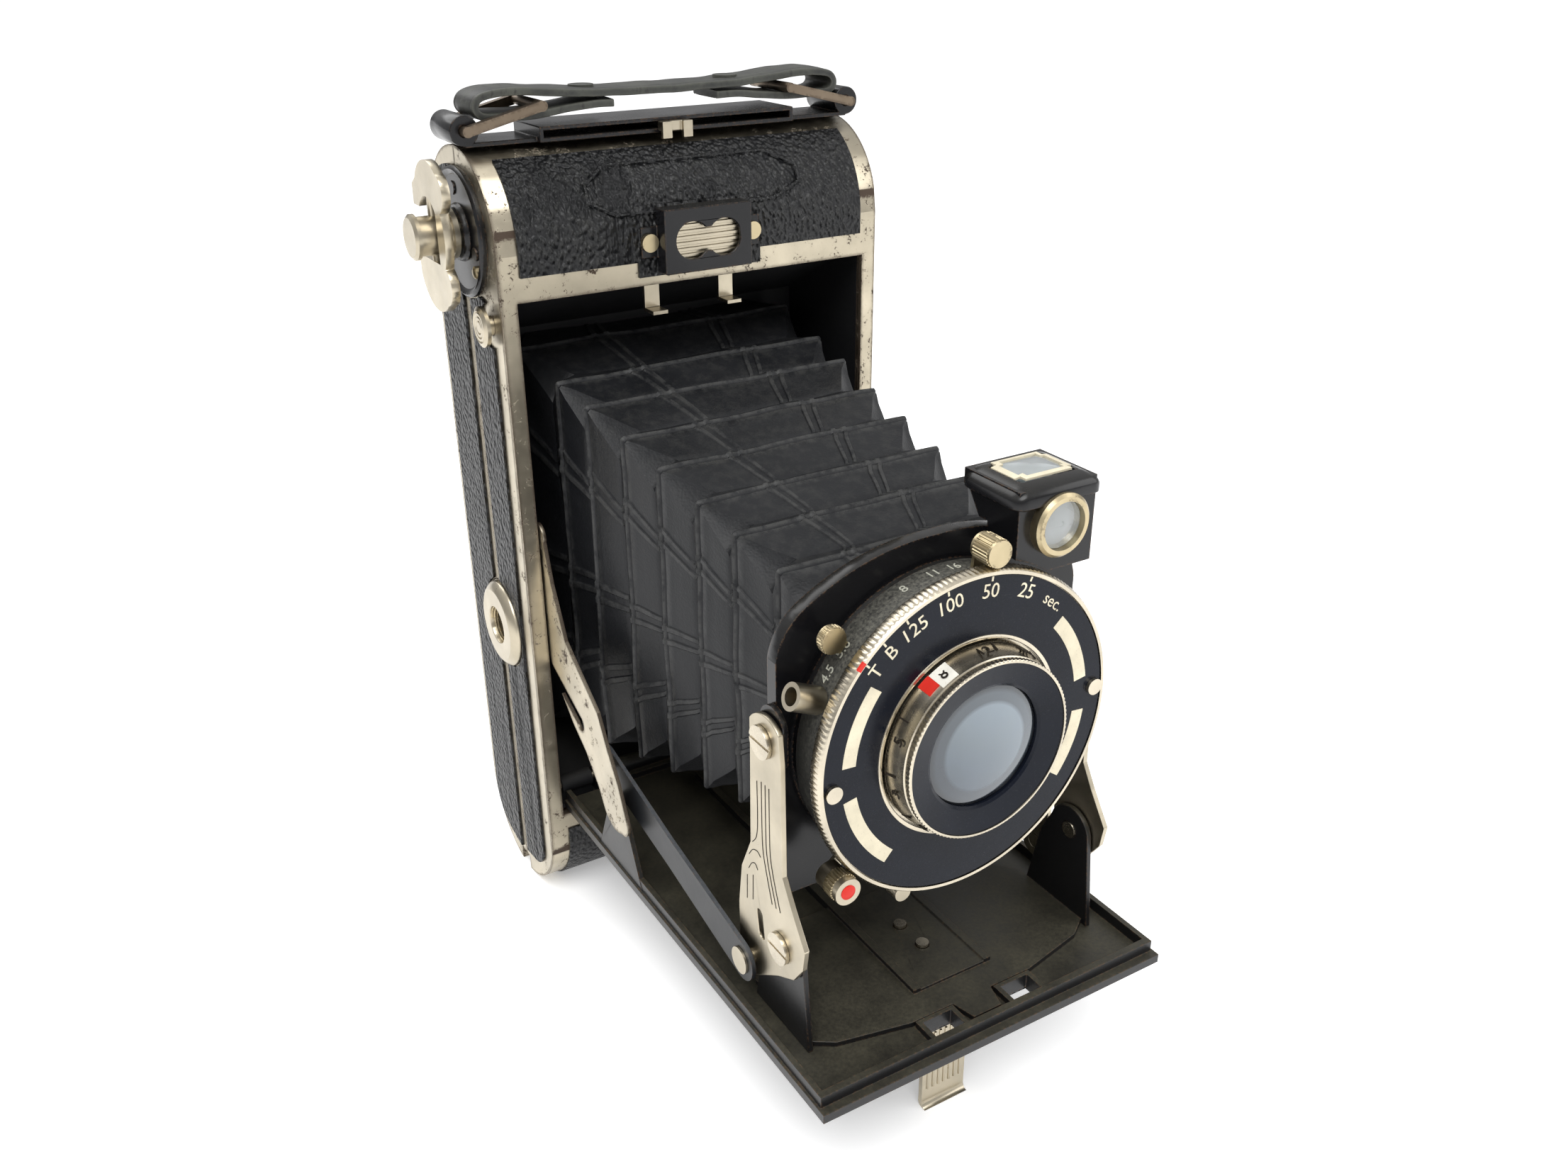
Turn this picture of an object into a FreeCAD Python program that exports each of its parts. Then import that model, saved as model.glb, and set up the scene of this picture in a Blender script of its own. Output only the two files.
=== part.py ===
import FreeCAD, Part
import math
import os

# Self-erecting vertical folding camera for 6 x 9 cm pictures on roll film.
# Millimetres.  The lens axis is the Y axis, the lens looks along -Y, +Z is up,
# and the origin is the centre of the lens's slip-on rim, at its front edge.

V = FreeCAD.Vector
doc = FreeCAD.newDocument("folding_camera")
sheet = doc.addObject("Spreadsheet::Sheet", "dims")

DIMENSIONS = [
    ("case_width", 81.8, "outside width of the metal case"),
    ("case_front", 94.0, "front face of the nickel frame, behind the lens rim"),
    ("case_depth", 35.0, "front face to back face"),
    ("case_bottom", -77.3, "lowest point of the case, where it stands"),
    ("case_top", 83.4, "highest point of the case"),
    ("skin", 1.2, "sheet thickness of the case"),
    ("seam", 111.3, "plane where the case and the back meet"),
    ("opening_half", 37.7, "half width of the front opening"),
    ("opening_top", 57.3, "upper edge of the front opening"),
    ("opening_bottom", -54.4, "lower edge of the front opening"),
    ("gate_width", 57.0, "picture gate width"),
    ("gate_height", 85.0, "picture gate height"),
    ("film_plane", 124.0, "rear face of the picture gate"),
    ("hinge_y", 98.2, "bed hinge axis"),
    ("hinge_z", -49.4, "bed hinge axis"),
    ("bed_width", 73.2, "bed width"),
    ("bed_front", -8.2, "front edge of the open bed"),
    ("bed_top", -49.0, "rim plane of the open bed"),
    ("bed_thick", 4.6, "bed thickness"),
    ("foot_y", 11.5, "strut foot screw"),
    ("foot_z", -33.64, "strut foot screw"),
    ("head_y", 16.4, "strut head screw"),
    ("head_z", 3.86, "strut head screw"),
    ("knee_y", 21.9, "rivet of link and strut"),
    ("knee_z", -42.94, "rivet of link and strut"),
    ("tail_y", 75.0, "rivet of link and brace"),
    ("tail_z", -31.8, "rivet of link and brace"),
    ("root_y", 68.0, "rivet of brace and bed"),
    ("root_z", -38.6, "rivet of brace and bed"),
    ("sheet_gauge", 1.0, "thickness of struts"),
    ("wind_y", 110.0, "wind shaft axis"),
    ("wind_z", 68.0, "wind shaft axis"),
    ("supply_z", -63.6, "supply spool axis"),
    ("spool_flange", 11.2, "spool flange radius"),
    ("spool_core", 4.0, "spool core radius"),
    ("film_width", 63.6, "distance between the spool flanges"),
    ("socket_y", 109.0, "tripod socket axis"),
    ("socket_z", -13.2, "tripod socket axis"),
    ("socket_bore", 4.0, "tripod socket thread radius"),
    ("rim_radius", 16.0, "slip-on rim of the lens"),
    ("toothed_radius", 29.3, "toothed rim of the speed ring"),
    ("dial_radius", 28.2, "dial plate radius"),
    ("shutter_radius", 27.4, "shutter housing radius"),
    ("running_gap", 0.05, "radial clearance of a turning fit"),
]

for row, (alias, value, note) in enumerate(DIMENSIONS, start=1):
    sheet.set(f"A{row}", note)
    sheet.set(f"B{row}", str(value))
    sheet.setAlias(f"B{row}", alias)
doc.recompute()

NODES = {}
AXIS = {"X": V(1, 0, 0), "Y": V(0, 1, 0), "Z": V(0, 0, 1)}
PLANE = {"X": "YZ_Plane", "Y": "XZ_Plane", "Z": "XY_Plane"}


def dim(alias):
    return float(sheet.get(alias))


def bind(item, **sizes):
    """Tie properties of an object to expressions on the sheet."""
    for name, expression in sizes.items():
        item.setExpression(name, expression)
    return item


def node(name, item):
    """Register the finished object of one sub-part under its own label."""
    item.Label = name
    NODES[name] = item
    return item


def block(name, low, high, **sizes):
    item = doc.addObject("Part::Box", name)
    item.Length = high[0] - low[0]
    item.Width = high[1] - low[1]
    item.Height = high[2] - low[2]
    item.Placement.Base = V(*low)
    return bind(item, **sizes)


def rod(name, axis, start, radius, length, **sizes):
    """A cylinder that starts at a point and runs along +axis."""
    item = doc.addObject("Part::Cylinder", name)
    item.Radius = radius
    item.Height = length
    turn = FreeCAD.Rotation(V(0, 0, 1), AXIS[axis])
    item.Placement = FreeCAD.Placement(V(*start), turn)
    return bind(item, **sizes)


def draw(sketch, start, steps):
    """Close an outline: (x, y) is a line, (mid x, mid y, x, y) an arc."""
    here = V(start[0], start[1], 0)
    first = here
    for step in steps:
        there = V(step[-2], step[-1], 0)
        if len(step) == 4:
            sketch.addGeometry(Part.Arc(here, V(step[0], step[1], 0), there), False)
        else:
            sketch.addGeometry(Part.LineSegment(here, there), False)
        here = there
    if here.distanceToPoint(first) > 1e-6:
        sketch.addGeometry(Part.LineSegment(here, first), False)


def body_with_sketch(name, plane, start, steps, holes=()):
    body = doc.addObject("PartDesign::Body", name)
    sketch = body.newObject("Sketcher::SketchObject", name + "_outline")
    origin = [f for f in body.Origin.OriginFeatures if f.Role == plane][0]
    sketch.AttachmentSupport = [(origin, "")]
    sketch.MapMode = "FlatFace"
    draw(sketch, start, steps)
    for x, y, radius in holes:
        sketch.addGeometry(Part.Circle(V(x, y, 0), V(0, 0, 1), radius), False)
    return body, sketch


def plate(name, axis, at, depth, start, steps, holes=(), **sizes):
    """An outline padded along +axis from the position `at`.

    Outline coordinates are (Y, Z) for axis X, (X, Z) for axis Y, (X, Y) for axis Z.
    """
    body, sketch = body_with_sketch(name, PLANE[axis], start, steps, holes)
    pad = body.newObject("PartDesign::Pad", name + "_pad")
    pad.Profile = sketch
    pad.Length = depth
    pad.Reversed = axis == "Y"
    body.Placement.Base = AXIS[axis] * at
    bind(pad, **sizes)
    return body


def turned(name, axis, centre, start, steps, angle=360):
    """A profile of (along, radius) points revolved about an axis through centre."""
    plane = "YZ_Plane" if axis == "Y" else "XZ_Plane"
    if axis == "Z":
        start = (start[1], start[0])
        steps = [tuple(s[i ^ 1] for i in range(len(s))) for s in steps]
    body, sketch = body_with_sketch(name, plane, start, steps)
    turn = body.newObject("PartDesign::Revolution", name + "_turn")
    turn.Profile = sketch
    turn.ReferenceAxis = (sketch, ["V_Axis" if axis == "Z" else "H_Axis"])
    turn.Angle = angle
    body.Placement.Base = V(*centre)
    return body


def cut(name, base, *tools):
    item = doc.addObject("Part::Cut", name)
    item.Base = base
    item.Tool = tools[0] if len(tools) == 1 else group(name + "_tools", *tools)
    return item


def fuse(name, *items):
    item = doc.addObject("Part::MultiFuse", name)
    item.Shapes = list(items)
    return item


def group(name, *items):
    item = doc.addObject("Part::Compound", name)
    item.Links = list(items)
    return item


def radial(radius, degrees, y=0.0):
    """A point at an angle round the lens axis, measured from +X towards +Z."""
    angle = math.radians(degrees)
    return (radius * math.cos(angle), y, radius * math.sin(angle))


# ---------------------------------------------------------------- case outline

HALF = dim("case_width") / 2
FRONT = dim("case_front")
BACK = FRONT + dim("case_depth")
MID_Y = (FRONT + BACK) / 2
END_R = dim("case_depth") / 2
LOW_Z = dim("case_bottom") + END_R
HIGH_Z = dim("case_top") - END_R
SKIN = dim("skin")
SEAM = dim("seam")
HINGE_Y = SEAM + 0.7
HINGE_Z = dim("case_bottom") + 1.1
OPEN_X = dim("opening_half")
WALL_FRONT = FRONT + 0.6
DIAGONAL = math.sqrt(0.5)


def end_height(y, radius):
    """Half chord of an end's semicircle at a given depth."""
    return math.sqrt(radius * radius - (y - MID_Y) ** 2)


def half_outline(radius, flat_y, seam_y):
    """The stadium-shaped side outline between a flat face and the seam."""
    side = -1 if flat_y < MID_Y else 1
    corner = MID_Y + side * radius * DIAGONAL
    rise = end_height(flat_y, radius) if abs(flat_y - MID_Y) < radius else 0.0
    reach = end_height(seam_y, radius)
    start = (seam_y, LOW_Z - reach)
    steps = [
        (corner, LOW_Z - radius * DIAGONAL, flat_y, LOW_Z - rise),
        (flat_y, HIGH_Z + rise),
        (corner, HIGH_Z + radius * DIAGONAL, seam_y, HIGH_Z + reach),
    ]
    return start, steps


def main_case():
    """Front half of the body shell, with round tabs for the winder and the socket."""
    start, steps = half_outline(END_R, WALL_FRONT, SEAM)
    outer = plate("case_outer", "X", -HALF, 2 * HALF, start, steps, Length="dims.case_width")
    start, steps = half_outline(END_R - SKIN, WALL_FRONT + SKIN, SEAM + 0.1)
    inner = plate("case_inner", "X", -HALF + SKIN, 2 * (HALF - SKIN), start, steps,
                  Length="dims.case_width - 2 * dims.skin")
    low, high = dim("opening_bottom"), dim("opening_top")
    window = block("case_window", (-OPEN_X, FRONT - 1, low), (OPEN_X, WALL_FRONT + 2, high),
                   Length="2 * dims.opening_half",
                   Height="dims.opening_top - dims.opening_bottom")
    slot = block("case_slot", (-3, FRONT - 1, 61.8), (3, WALL_FRONT + 2, 69.8))
    relief = block("case_hinge_relief", (-HALF - 1, SEAM - 1.6, -79), (HALF + 1, SEAM + 1, -73.9))
    shell = cut("case_shell", outer, inner, window, slot, relief)
    side = (-HALF, dim("wind_y"), dim("wind_z"))
    wind_tab = rod("case_wind_tab", "X", side, 11.9, SKIN, Height="dims.skin")
    socket_at = (-HALF, dim("socket_y"), dim("socket_z"))
    socket_tab = rod("case_socket_tab", "X", socket_at, 9.4, SKIN, Height="dims.skin")
    knuckles = []
    for i, x in enumerate((-38.0, 18.3)):
        tube = rod(f"case_knuckle{i}", "X", (x, HINGE_Y, HINGE_Z), 1.1, 19.7)
        web = block(f"case_knuckle_web{i}", (x, SEAM - 2.3, -77.0), (x + 19.7, HINGE_Y, -75.9))
        knuckles += [tube, web]
    pin_hole = rod("case_pin_hole", "X", (-HALF - 1, HINGE_Y, HINGE_Z), 0.65, 2 * HALF + 2)
    solid = cut("case_solid", fuse("case_joined", shell, wind_tab, socket_tab, *knuckles),
                pin_hole)
    shaft_hole = rod("case_shaft_hole", "X", (-HALF - 1, side[1], side[2]), 3.05, 4)
    socket_hole = rod("case_socket_hole", "X", (-HALF - 1, socket_at[1], socket_at[2]), 6.5, 4)
    button_hole = rod("case_button_hole", "X", (-HALF - 1, 100.0, 52.5), 1.85, 4)
    node("main_case", cut("case_done", solid, shaft_hole, socket_hole, button_hole))


def front_frame():
    """Nickel frame round the front opening, bevelled where the case curves away."""
    rise = end_height(WALL_FRONT, END_R)
    body = plate("frame_plate", "X", -HALF, 2 * HALF, (FRONT, LOW_Z),
                 [(FRONT, HIGH_Z), (WALL_FRONT, HIGH_Z + rise), (WALL_FRONT, LOW_Z - rise)],
                 Length="dims.case_width")
    window = block("frame_window", (-OPEN_X, FRONT - 1, dim("opening_bottom")),
                   (OPEN_X, WALL_FRONT + 1, dim("opening_top")),
                   Length="2 * dims.opening_half",
                   Height="dims.opening_top - dims.opening_bottom")
    slot = block("frame_slot", (-3, FRONT - 1, 61.8), (3, WALL_FRONT + 2, 69.8))
    node("front_frame", cut("frame_done", body, window, slot))


def film_gate():
    """Black inner box: side and sloping walls from the opening to the picture gate."""
    inner_x = OPEN_X
    wall = 0.8
    plane = dim("film_plane")
    top = dim("opening_top")
    outer = plate("gate_outer", "X", -inner_x - wall, 2 * (inner_x + wall), (95.9, top + 0.9),
                  [(99.6, top + 0.9), (plane, 45.9), (plane, -45.6), (101.5, -54.0), (95.9, -54.0)])
    inner = plate("gate_inner", "X", -inner_x, 2 * inner_x, (95.0, top + 0.1),
                  [(99.2, top + 0.1), (plane - 1.2, 44.9), (plane - 1.2, -44.6), (101.2, -53.0), (95.0, -53.0)],
                  Length="2 * dims.opening_half")
    half_w, half_h = dim("gate_width") / 2, dim("gate_height") / 2
    picture = block("gate_picture", (-half_w, plane - 2, -half_h), (half_w, plane + 1, half_h),
                    Length="dims.gate_width", Height="dims.gate_height")
    slots = [block(f"gate_slot{i}", (x, 95.0, 54.5), (x + 5.4, 100.4, 60.0))
             for i, x in enumerate((-11.2, 5.8))]
    box = cut("gate_box", outer, inner, picture, *slots)
    lugs = []
    for i, x in enumerate((-36.4, 29.4)):
        barrel = rod(f"gate_barrel{i}", "X", (x, dim("hinge_y"), dim("hinge_z")), 2.0, 7.0)
        web = block(f"gate_web{i}", (x, 97.2, -53.4), (x + 7.0, 99.2, dim("hinge_z")))
        lugs += [barrel, web]
    solid = fuse("gate_solid", box, *lugs)
    bore = rod("gate_bore", "X", (-37.6, dim("hinge_y"), dim("hinge_z")), 0.95, 75.2)
    node("film_gate", cut("gate_done", solid, bore))


def side_panels():
    """Leather strips on the two sides of the case half."""
    gauge = 0.5
    left = plate("side_panel0", "X", -HALF - gauge, gauge, (99.0, 56.0),
                 [(99.0, -66.0), (101.0, -69.9, 104.2, -71.2), (109.4, -71.8), (109.4, 58.0)])
    right = plate("side_panel1", "X", HALF, gauge, (99.0, 74.0),
                  [(99.0, -66.0), (101.0, -69.9, 104.2, -71.2), (109.4, -71.8),
                   (109.4, 78.5), (104.0, 76.8)])
    wind = rod("panel_wind", "X", (-HALF - 1, dim("wind_y"), dim("wind_z")), 12.3, 2)
    socket = rod("panel_socket", "X", (-HALF - 1, dim("socket_y"), dim("socket_z")), 9.5, 2)
    button = rod("panel_button", "X", (-HALF - 1, 100.0, 52.5), 4.2, 2)
    return [cut("side_panel_left", left, wind, socket, button), right]


def curved_leather(name, side, flat_z, end_y, half, gauge):
    """Leather from the flat front face round one end (side 1 top, -1 bottom)."""
    centre = HIGH_Z if side > 0 else LOW_Z
    grown = END_R + gauge
    corner_in, corner_out = END_R * DIAGONAL, grown * DIAGONAL
    low_end = centre + side * end_height(end_y, END_R)
    high_end = centre + side * end_height(end_y, grown)
    return plate(name, "X", -half, 2 * half, (FRONT - gauge, flat_z),
                 [(FRONT - gauge, centre),
                  (MID_Y - corner_out, centre + side * corner_out, end_y, high_end),
                  (end_y, low_end),
                  (MID_Y - corner_in, centre + side * corner_in, FRONT, centre),
                  (FRONT, flat_z)])


def front_leather():
    """Leather over the top and bottom of the front, and on the two sides."""
    top = curved_leather("top_panel", 1, 61.9, 102.6, 36.9, 0.5)
    bottom = curved_leather("bottom_panel", -1, -58.2, 107.0, 36.9, 0.4)
    release = block("panel_release", (-13.0, FRONT - 2, 59.0), (13.0, FRONT + 1, 72.2))
    node("front_leather", group("front_panels", cut("top_panel_done", top, release),
                                bottom, *side_panels()))


def spool(name, y, z):
    """A wooden-cored film spool with thin flanges."""
    half = dim("film_width") / 2
    core, flange = dim("spool_core"), dim("spool_flange")
    return turned(name, "X", (0, y, z), (-half - 1, 2.1),
                  [(-half - 1, flange), (-half, flange), (-half, core), (half, core),
                   (half, flange), (half + 1, flange), (half + 1, 2.1)])


def spools():
    """Both spools, their pins in the case and the two polished film guides."""
    node("take_up_spool", spool("spool_up", dim("wind_y"), dim("wind_z")))
    node("supply_spool", spool("spool_down", MID_Y, dim("supply_z")))
    pins = [rod(f"guide{i}", "X", (-31.0, 121.6, z), 1.5, 62.0)
            for i, z in enumerate((49.0, -49.6))]
    for i, (y, z, x) in enumerate((
            (dim("wind_y"), dim("wind_z"), 32.0),
            (MID_Y, dim("supply_z"), 32.0),
            (MID_Y, dim("supply_z"), -HALF + SKIN))):
        pins.append(rod(f"spool_pin{i}", "X", (x, y, z), 2.0, HALF - SKIN - 32.0))
    node("film_guides", group("film_guide_set", *pins))


def tripod_socket():
    """Flanged nickel bush with the tripod thread."""
    bore = dim("socket_bore")
    bush = turned("socket_bush", "X", (-HALF, dim("socket_y"), dim("socket_z")), (-2.2, bore),
                  [(-2.2, 7.6), (-1.9, 8.2), (-0.9, 9.2), (0, 9.2), (0, 6.45),
                   (2.2, 6.45), (2.2, bore)])
    node("tripod_socket", bush)


def wind_plate():
    """Black enamelled disc under the film winder, held by three screws."""
    side = (-HALF, dim("wind_y"), dim("wind_z"))
    disc = turned("wind_disc", "X", side, (0, 3.1),
                  [(0, 12.0), (-0.9, 12.0), (-1.4, 11.4), (-1.0, 10.6), (-0.8, 10.4),
                   (-0.8, 5.4), (-1.8, 5.0), (-1.8, 3.1)])
    slots = []
    for i, degrees in enumerate((80, 200, 320)):
        angle = math.radians(degrees)
        y = side[1] + 8.0 * math.cos(angle)
        z = side[2] + 8.0 * math.sin(angle)
        slots.append(block(f"disc_slot{i}", (side[0] - 1.4, y - 1.2, z - 0.2),
                           (side[0] - 1.0, y + 1.2, z + 0.2)))
        slots.append(rod(f"disc_recess{i}", "X", (side[0] - 1.6, y, z), 1.3, 1.0))
    heads = []
    for i, degrees in enumerate((80, 200, 320)):
        angle = math.radians(degrees)
        at = (side[0] - 1.1, side[1] + 8.0 * math.cos(angle), side[2] + 8.0 * math.sin(angle))
        heads.append(rod(f"disc_screw{i}", "X", at, 1.2, 1.0))
    node("wind_plate", fuse("wind_plate_done", cut("wind_plate_cut", disc, *slots), *heads))


def wind_shaft():
    """Winding shaft: spool key at one end, round hub outside the case."""
    x, y, z = -HALF, dim("wind_y"), dim("wind_z")
    shaft = turned("shaft_turned", "X", (x, y, z), (8.9, 0),
                   [(8.9, 2.0), (6.0, 2.0), (6.0, 3.0), (-2.2, 3.0), (-2.2, 4.6),
                    (-3.2, 4.6), (-3.2, 3.6), (-9.2, 3.6), (-9.2, 4.2), (-9.9, 4.2),
                    (-10.4, 3.6), (-10.4, 0)])
    pin_hole = rod("shaft_pin_hole", "Z", (x - 5.7, y, z - 6), 0.8, 12)
    node("wind_shaft", cut("wind_shaft_done", shaft, pin_hole))


def wind_key():
    """Folding two-lobed key that flips on a pin through the hub."""
    x, y, z = -HALF - 6.5, dim("wind_y"), dim("wind_z")
    key = plate("key_plate", "X", x, 1.6, (y - 7.0, z + 5.0),
                [(y - 9.3, z + 8.6, y - 6.4, z + 11.8), (y + 0.5, z + 13.4, y + 5.6, z + 9.6),
                 (y + 7.6, z + 8.4), (y + 7.8, z + 4.6), (y + 4.6, z + 4.6),
                 (y + 2.2, z + 6.6, y - 4.3, z + 4.6), (y - 4.3, z - 4.6),
                 (y + 4.6, z - 4.6), (y + 7.8, z - 4.6), (y + 7.6, z - 8.4),
                 (y + 0.5, z - 13.8, y - 6.4, z - 11.8), (y - 9.3, z - 8.6, y - 7.0, z - 5.0),
                 (y - 8.2, z, y - 7.0, z + 5.0)])
    pin = rod("key_pin", "Z", (-HALF - 5.7, y, z - 7.0), 0.75, 14.0)
    node("wind_key", fuse("wind_key_done", key, pin))


def side_button():
    """Small push button with turned rings in the left side."""
    rings = []
    for radius in (3.0, 2.2, 1.4):
        rings += [(-2.5, radius), (-2.3, radius - 0.2), (-2.5, radius - 0.4)]
    button = turned("button_turned", "X", (-HALF, 100.0, 52.5), (1.4, 0),
                    [(1.4, 1.8), (-1.4, 1.8), (-1.4, 3.8), (-2.1, 3.8)] + rings + [(-2.5, 0)])
    node("side_button", button)


def release_parts():
    """Bed release: black housing, ribbed slide behind its window, and two hooks."""
    front = FRONT - 4.0
    shell = block("housing_block", (-9.3, front, 59.7), (9.3, FRONT, 71.7))
    hollow = block("housing_hollow", (-8.3, front + 0.7, 60.5), (8.3, FRONT + 1, 70.9))
    left = rod("window_left", "Y", (-3.4, front - 1, 65.6), 3.5, 3)
    right = rod("window_right", "Y", (3.4, front - 1, 65.6), 3.5, 3)
    bridge = block("window_bridge", (-3.4, front - 1, 63.4), (3.4, front + 2, 67.8))
    ears = [block(f"housing_ear{i}", (x, FRONT - 0.8, 62.6), (x + 3.4, FRONT, 68.4))
            for i, x in enumerate((-12.7, 9.3))]
    body = fuse("housing_body", cut("housing_cut", shell, hollow, left, right, bridge), *ears)
    holes = [rod(f"ear_hole{i}", "Y", (x, FRONT - 2, 65.5), 1.05, 4)
             for i, x in enumerate((-11.1, 11.1))]
    node("release_housing", cut("housing_done", body, *holes))
    screws = []
    for i, x in enumerate((-11.1, 11.1)):
        head = rod(f"ear_head{i}", "Y", (x, FRONT - 1.6, 65.5), 1.7, 0.8)
        shank = rod(f"ear_shank{i}", "Y", (x, FRONT - 0.8, 65.5), 1.0, 0.8)
        screws.append(fuse(f"ear_screw{i}", head, shank))
    node("release_screws", group("ear_screws", *screws))
    slide = block("slide_block", (-7.6, FRONT - 2.9, 61.2), (7.6, FRONT - 0.6, 69.2))
    grooves = [block(f"slide_groove{i}", (-8, FRONT - 3, 61.9 + 1.1 * i),
                     (8, FRONT - 2.5, 62.4 + 1.1 * i)) for i in range(7)]
    stem = block("slide_stem", (-2.6, FRONT - 0.6, 63.0), (2.6, FRONT + 2.6, 67.4))
    node("release_button", fuse("release_slide", cut("slide_ribbed", slide, *grooves), stem))
    bar = block("hook_bar", (-10.6, FRONT + 2.6, 59.2), (10.6, FRONT + 3.2, 67.4))
    hooks = []
    for i, x in enumerate((-9.8, 6.6)):
        neck = block(f"hook_neck{i}", (x, FRONT + 2.6, 58.6), (x + 3.2, FRONT + 5.6, 59.2))
        drop = block(f"hook_drop{i}", (x, FRONT + 5.0, 51.0), (x + 3.2, FRONT + 5.6, 58.6))
        lip = block(f"hook_lip{i}", (x, FRONT + 1.4, 51.0), (x + 3.2, FRONT + 5.0, 51.7))
        hooks += [neck, drop, lip]
    node("bed_hooks", fuse("hook_set", bar, *hooks))


# ------------------------------------------------------------------------ back

def back_cover():
    """Rear half of the body shell, hinged at the bottom of the seam."""
    start, steps = half_outline(END_R, BACK, SEAM + 0.05)
    outer = plate("back_outer", "X", -HALF, 2 * HALF, start, steps, Length="dims.case_width")
    start, steps = half_outline(END_R - SKIN, BACK - SKIN, SEAM - 1)
    inner = plate("back_inner", "X", -HALF + SKIN, 2 * (HALF - SKIN), start, steps,
                  Length="dims.case_width - 2 * dims.skin")
    wind = rod("back_wind_notch", "X", (-HALF - 1, dim("wind_y"), dim("wind_z")), 12.1, 3)
    socket = rod("back_socket_notch", "X", (-HALF - 1, dim("socket_y"), dim("socket_z")), 9.6, 3)
    relief = block("back_relief", (-HALF - 1, SEAM - 2, -79), (HALF + 1, SEAM + 2.9, -73.9))
    window = rod("back_window_hole", "Y", (0, BACK - 3, -22.0), 5.05, 5)
    shell = cut("back_shell", outer, inner, wind, socket, relief, window)
    knuckle = rod("back_knuckle", "X", (-18, HINGE_Y, HINGE_Z), 1.1, 36)
    web = block("back_web", (-18, SEAM + 0.9, -77.2), (18, SEAM + 3.4, -76.2))
    solid = fuse("back_solid", shell, knuckle, web)
    bore = rod("back_bore", "X", (-40, HINGE_Y, HINGE_Z), 0.65, 80)
    node("back_cover", cut("back_done", solid, bore))


def back_hinge():
    node("back_hinge_pin", rod("back_pin", "X", (-38, HINGE_Y, HINGE_Z), 0.6, 76))


def back_leather():
    """Leather on the flat back, the curved ends and the sides of the back half."""
    gauge = 0.5
    flat = block("back_flat", (-38.6, BACK, LOW_Z + 1), (38.6, BACK + gauge, HIGH_Z - 1))
    hole = rod("back_flat_hole", "Y", (0, BACK - 1, -22.0), 6.2, 3)
    panels = [cut("back_flat_done", flat, hole)]
    for i, x in enumerate((-HALF - gauge, HALF)):
        side = plate(f"back_side{i}", "X", x, gauge, (113.2, -73.0),
                     [(120.0, -71.4), (125.0, -67.6, 126.6, -61.0), (126.6, 66.0),
                      (122.6, 76.6, 113.2, 79.6)])
        panels.append(side)
    wind = rod("side_wind_notch", "X", (-HALF - 1, dim("wind_y"), dim("wind_z")), 12.3, 2)
    socket = rod("side_socket_notch", "X", (-HALF - 1, dim("socket_y"), dim("socket_z")), 9.8, 2)
    panels[1] = cut("back_side_left", panels[1], wind, socket)
    node("back_leather", group("back_panels", *panels))


def pressure_parts():
    """Film pressure plate and its two leaf springs."""
    plane = dim("film_plane")
    sheet_metal = block("pressure_sheet", (-30.5, plane + 0.3, -46.0), (30.5, plane + 1.05, 46.0))
    springs = []
    for i, z in enumerate((-26.0, 26.0)):
        low, high = plane + 1.1, BACK - SKIN
        rise = (low + high) / 2
        leaf = plate(f"leaf{i}", "Z", z - 5, 10, (-22, high),
                     [(-20, high), (0, low + 0.6, 20, high), (22, high), (22, high - 0.4),
                      (20.2, high - 0.4), (0, low, -20.2, high - 0.4), (-22, high - 0.4)])
        springs.append(leaf)
    node("pressure_plate", group("pressure_set", sheet_metal, *springs))


def red_window():
    """Film counter window in the back with its sliding cover."""
    y = BACK
    glass = rod("window_glass", "Y", (0, y - 1.2, -22.0), 5.0, 1.2)
    node("red_window", glass)
    ring = turned("window_ring_turned", "Y", (0, y, -22.0), (0, 5.1),
                  [(0, 6.1), (0.9, 6.1), (1.2, 5.7), (1.2, 5.1)])
    cover = block("cover_plate", (-6.6, y + 1.3, -29.0), (6.6, y + 1.8, -15.0))
    rails = [block(f"cover_rail{i}", (x, y + 0.55, -34.0), (x + 1.0, y + 2.3, -8.0))
             for i, x in enumerate((-7.8, 6.8))]
    lips = [block(f"cover_lip{i}", (x, y + 1.9, -34.0), (x + 1.2, y + 2.3, -8.0))
            for i, x in enumerate((-6.8, 5.6))]
    thumb = block("cover_thumb", (-2.6, y + 1.8, -27.6), (2.6, y + 2.6, -26.4))
    node("window_cover", fuse("window_slide", cover, thumb))
    node("window_frame", group("window_frame_set", ring, fuse("rail_left", rails[0], lips[0]),
                               fuse("rail_right", rails[1], lips[1])))


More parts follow.
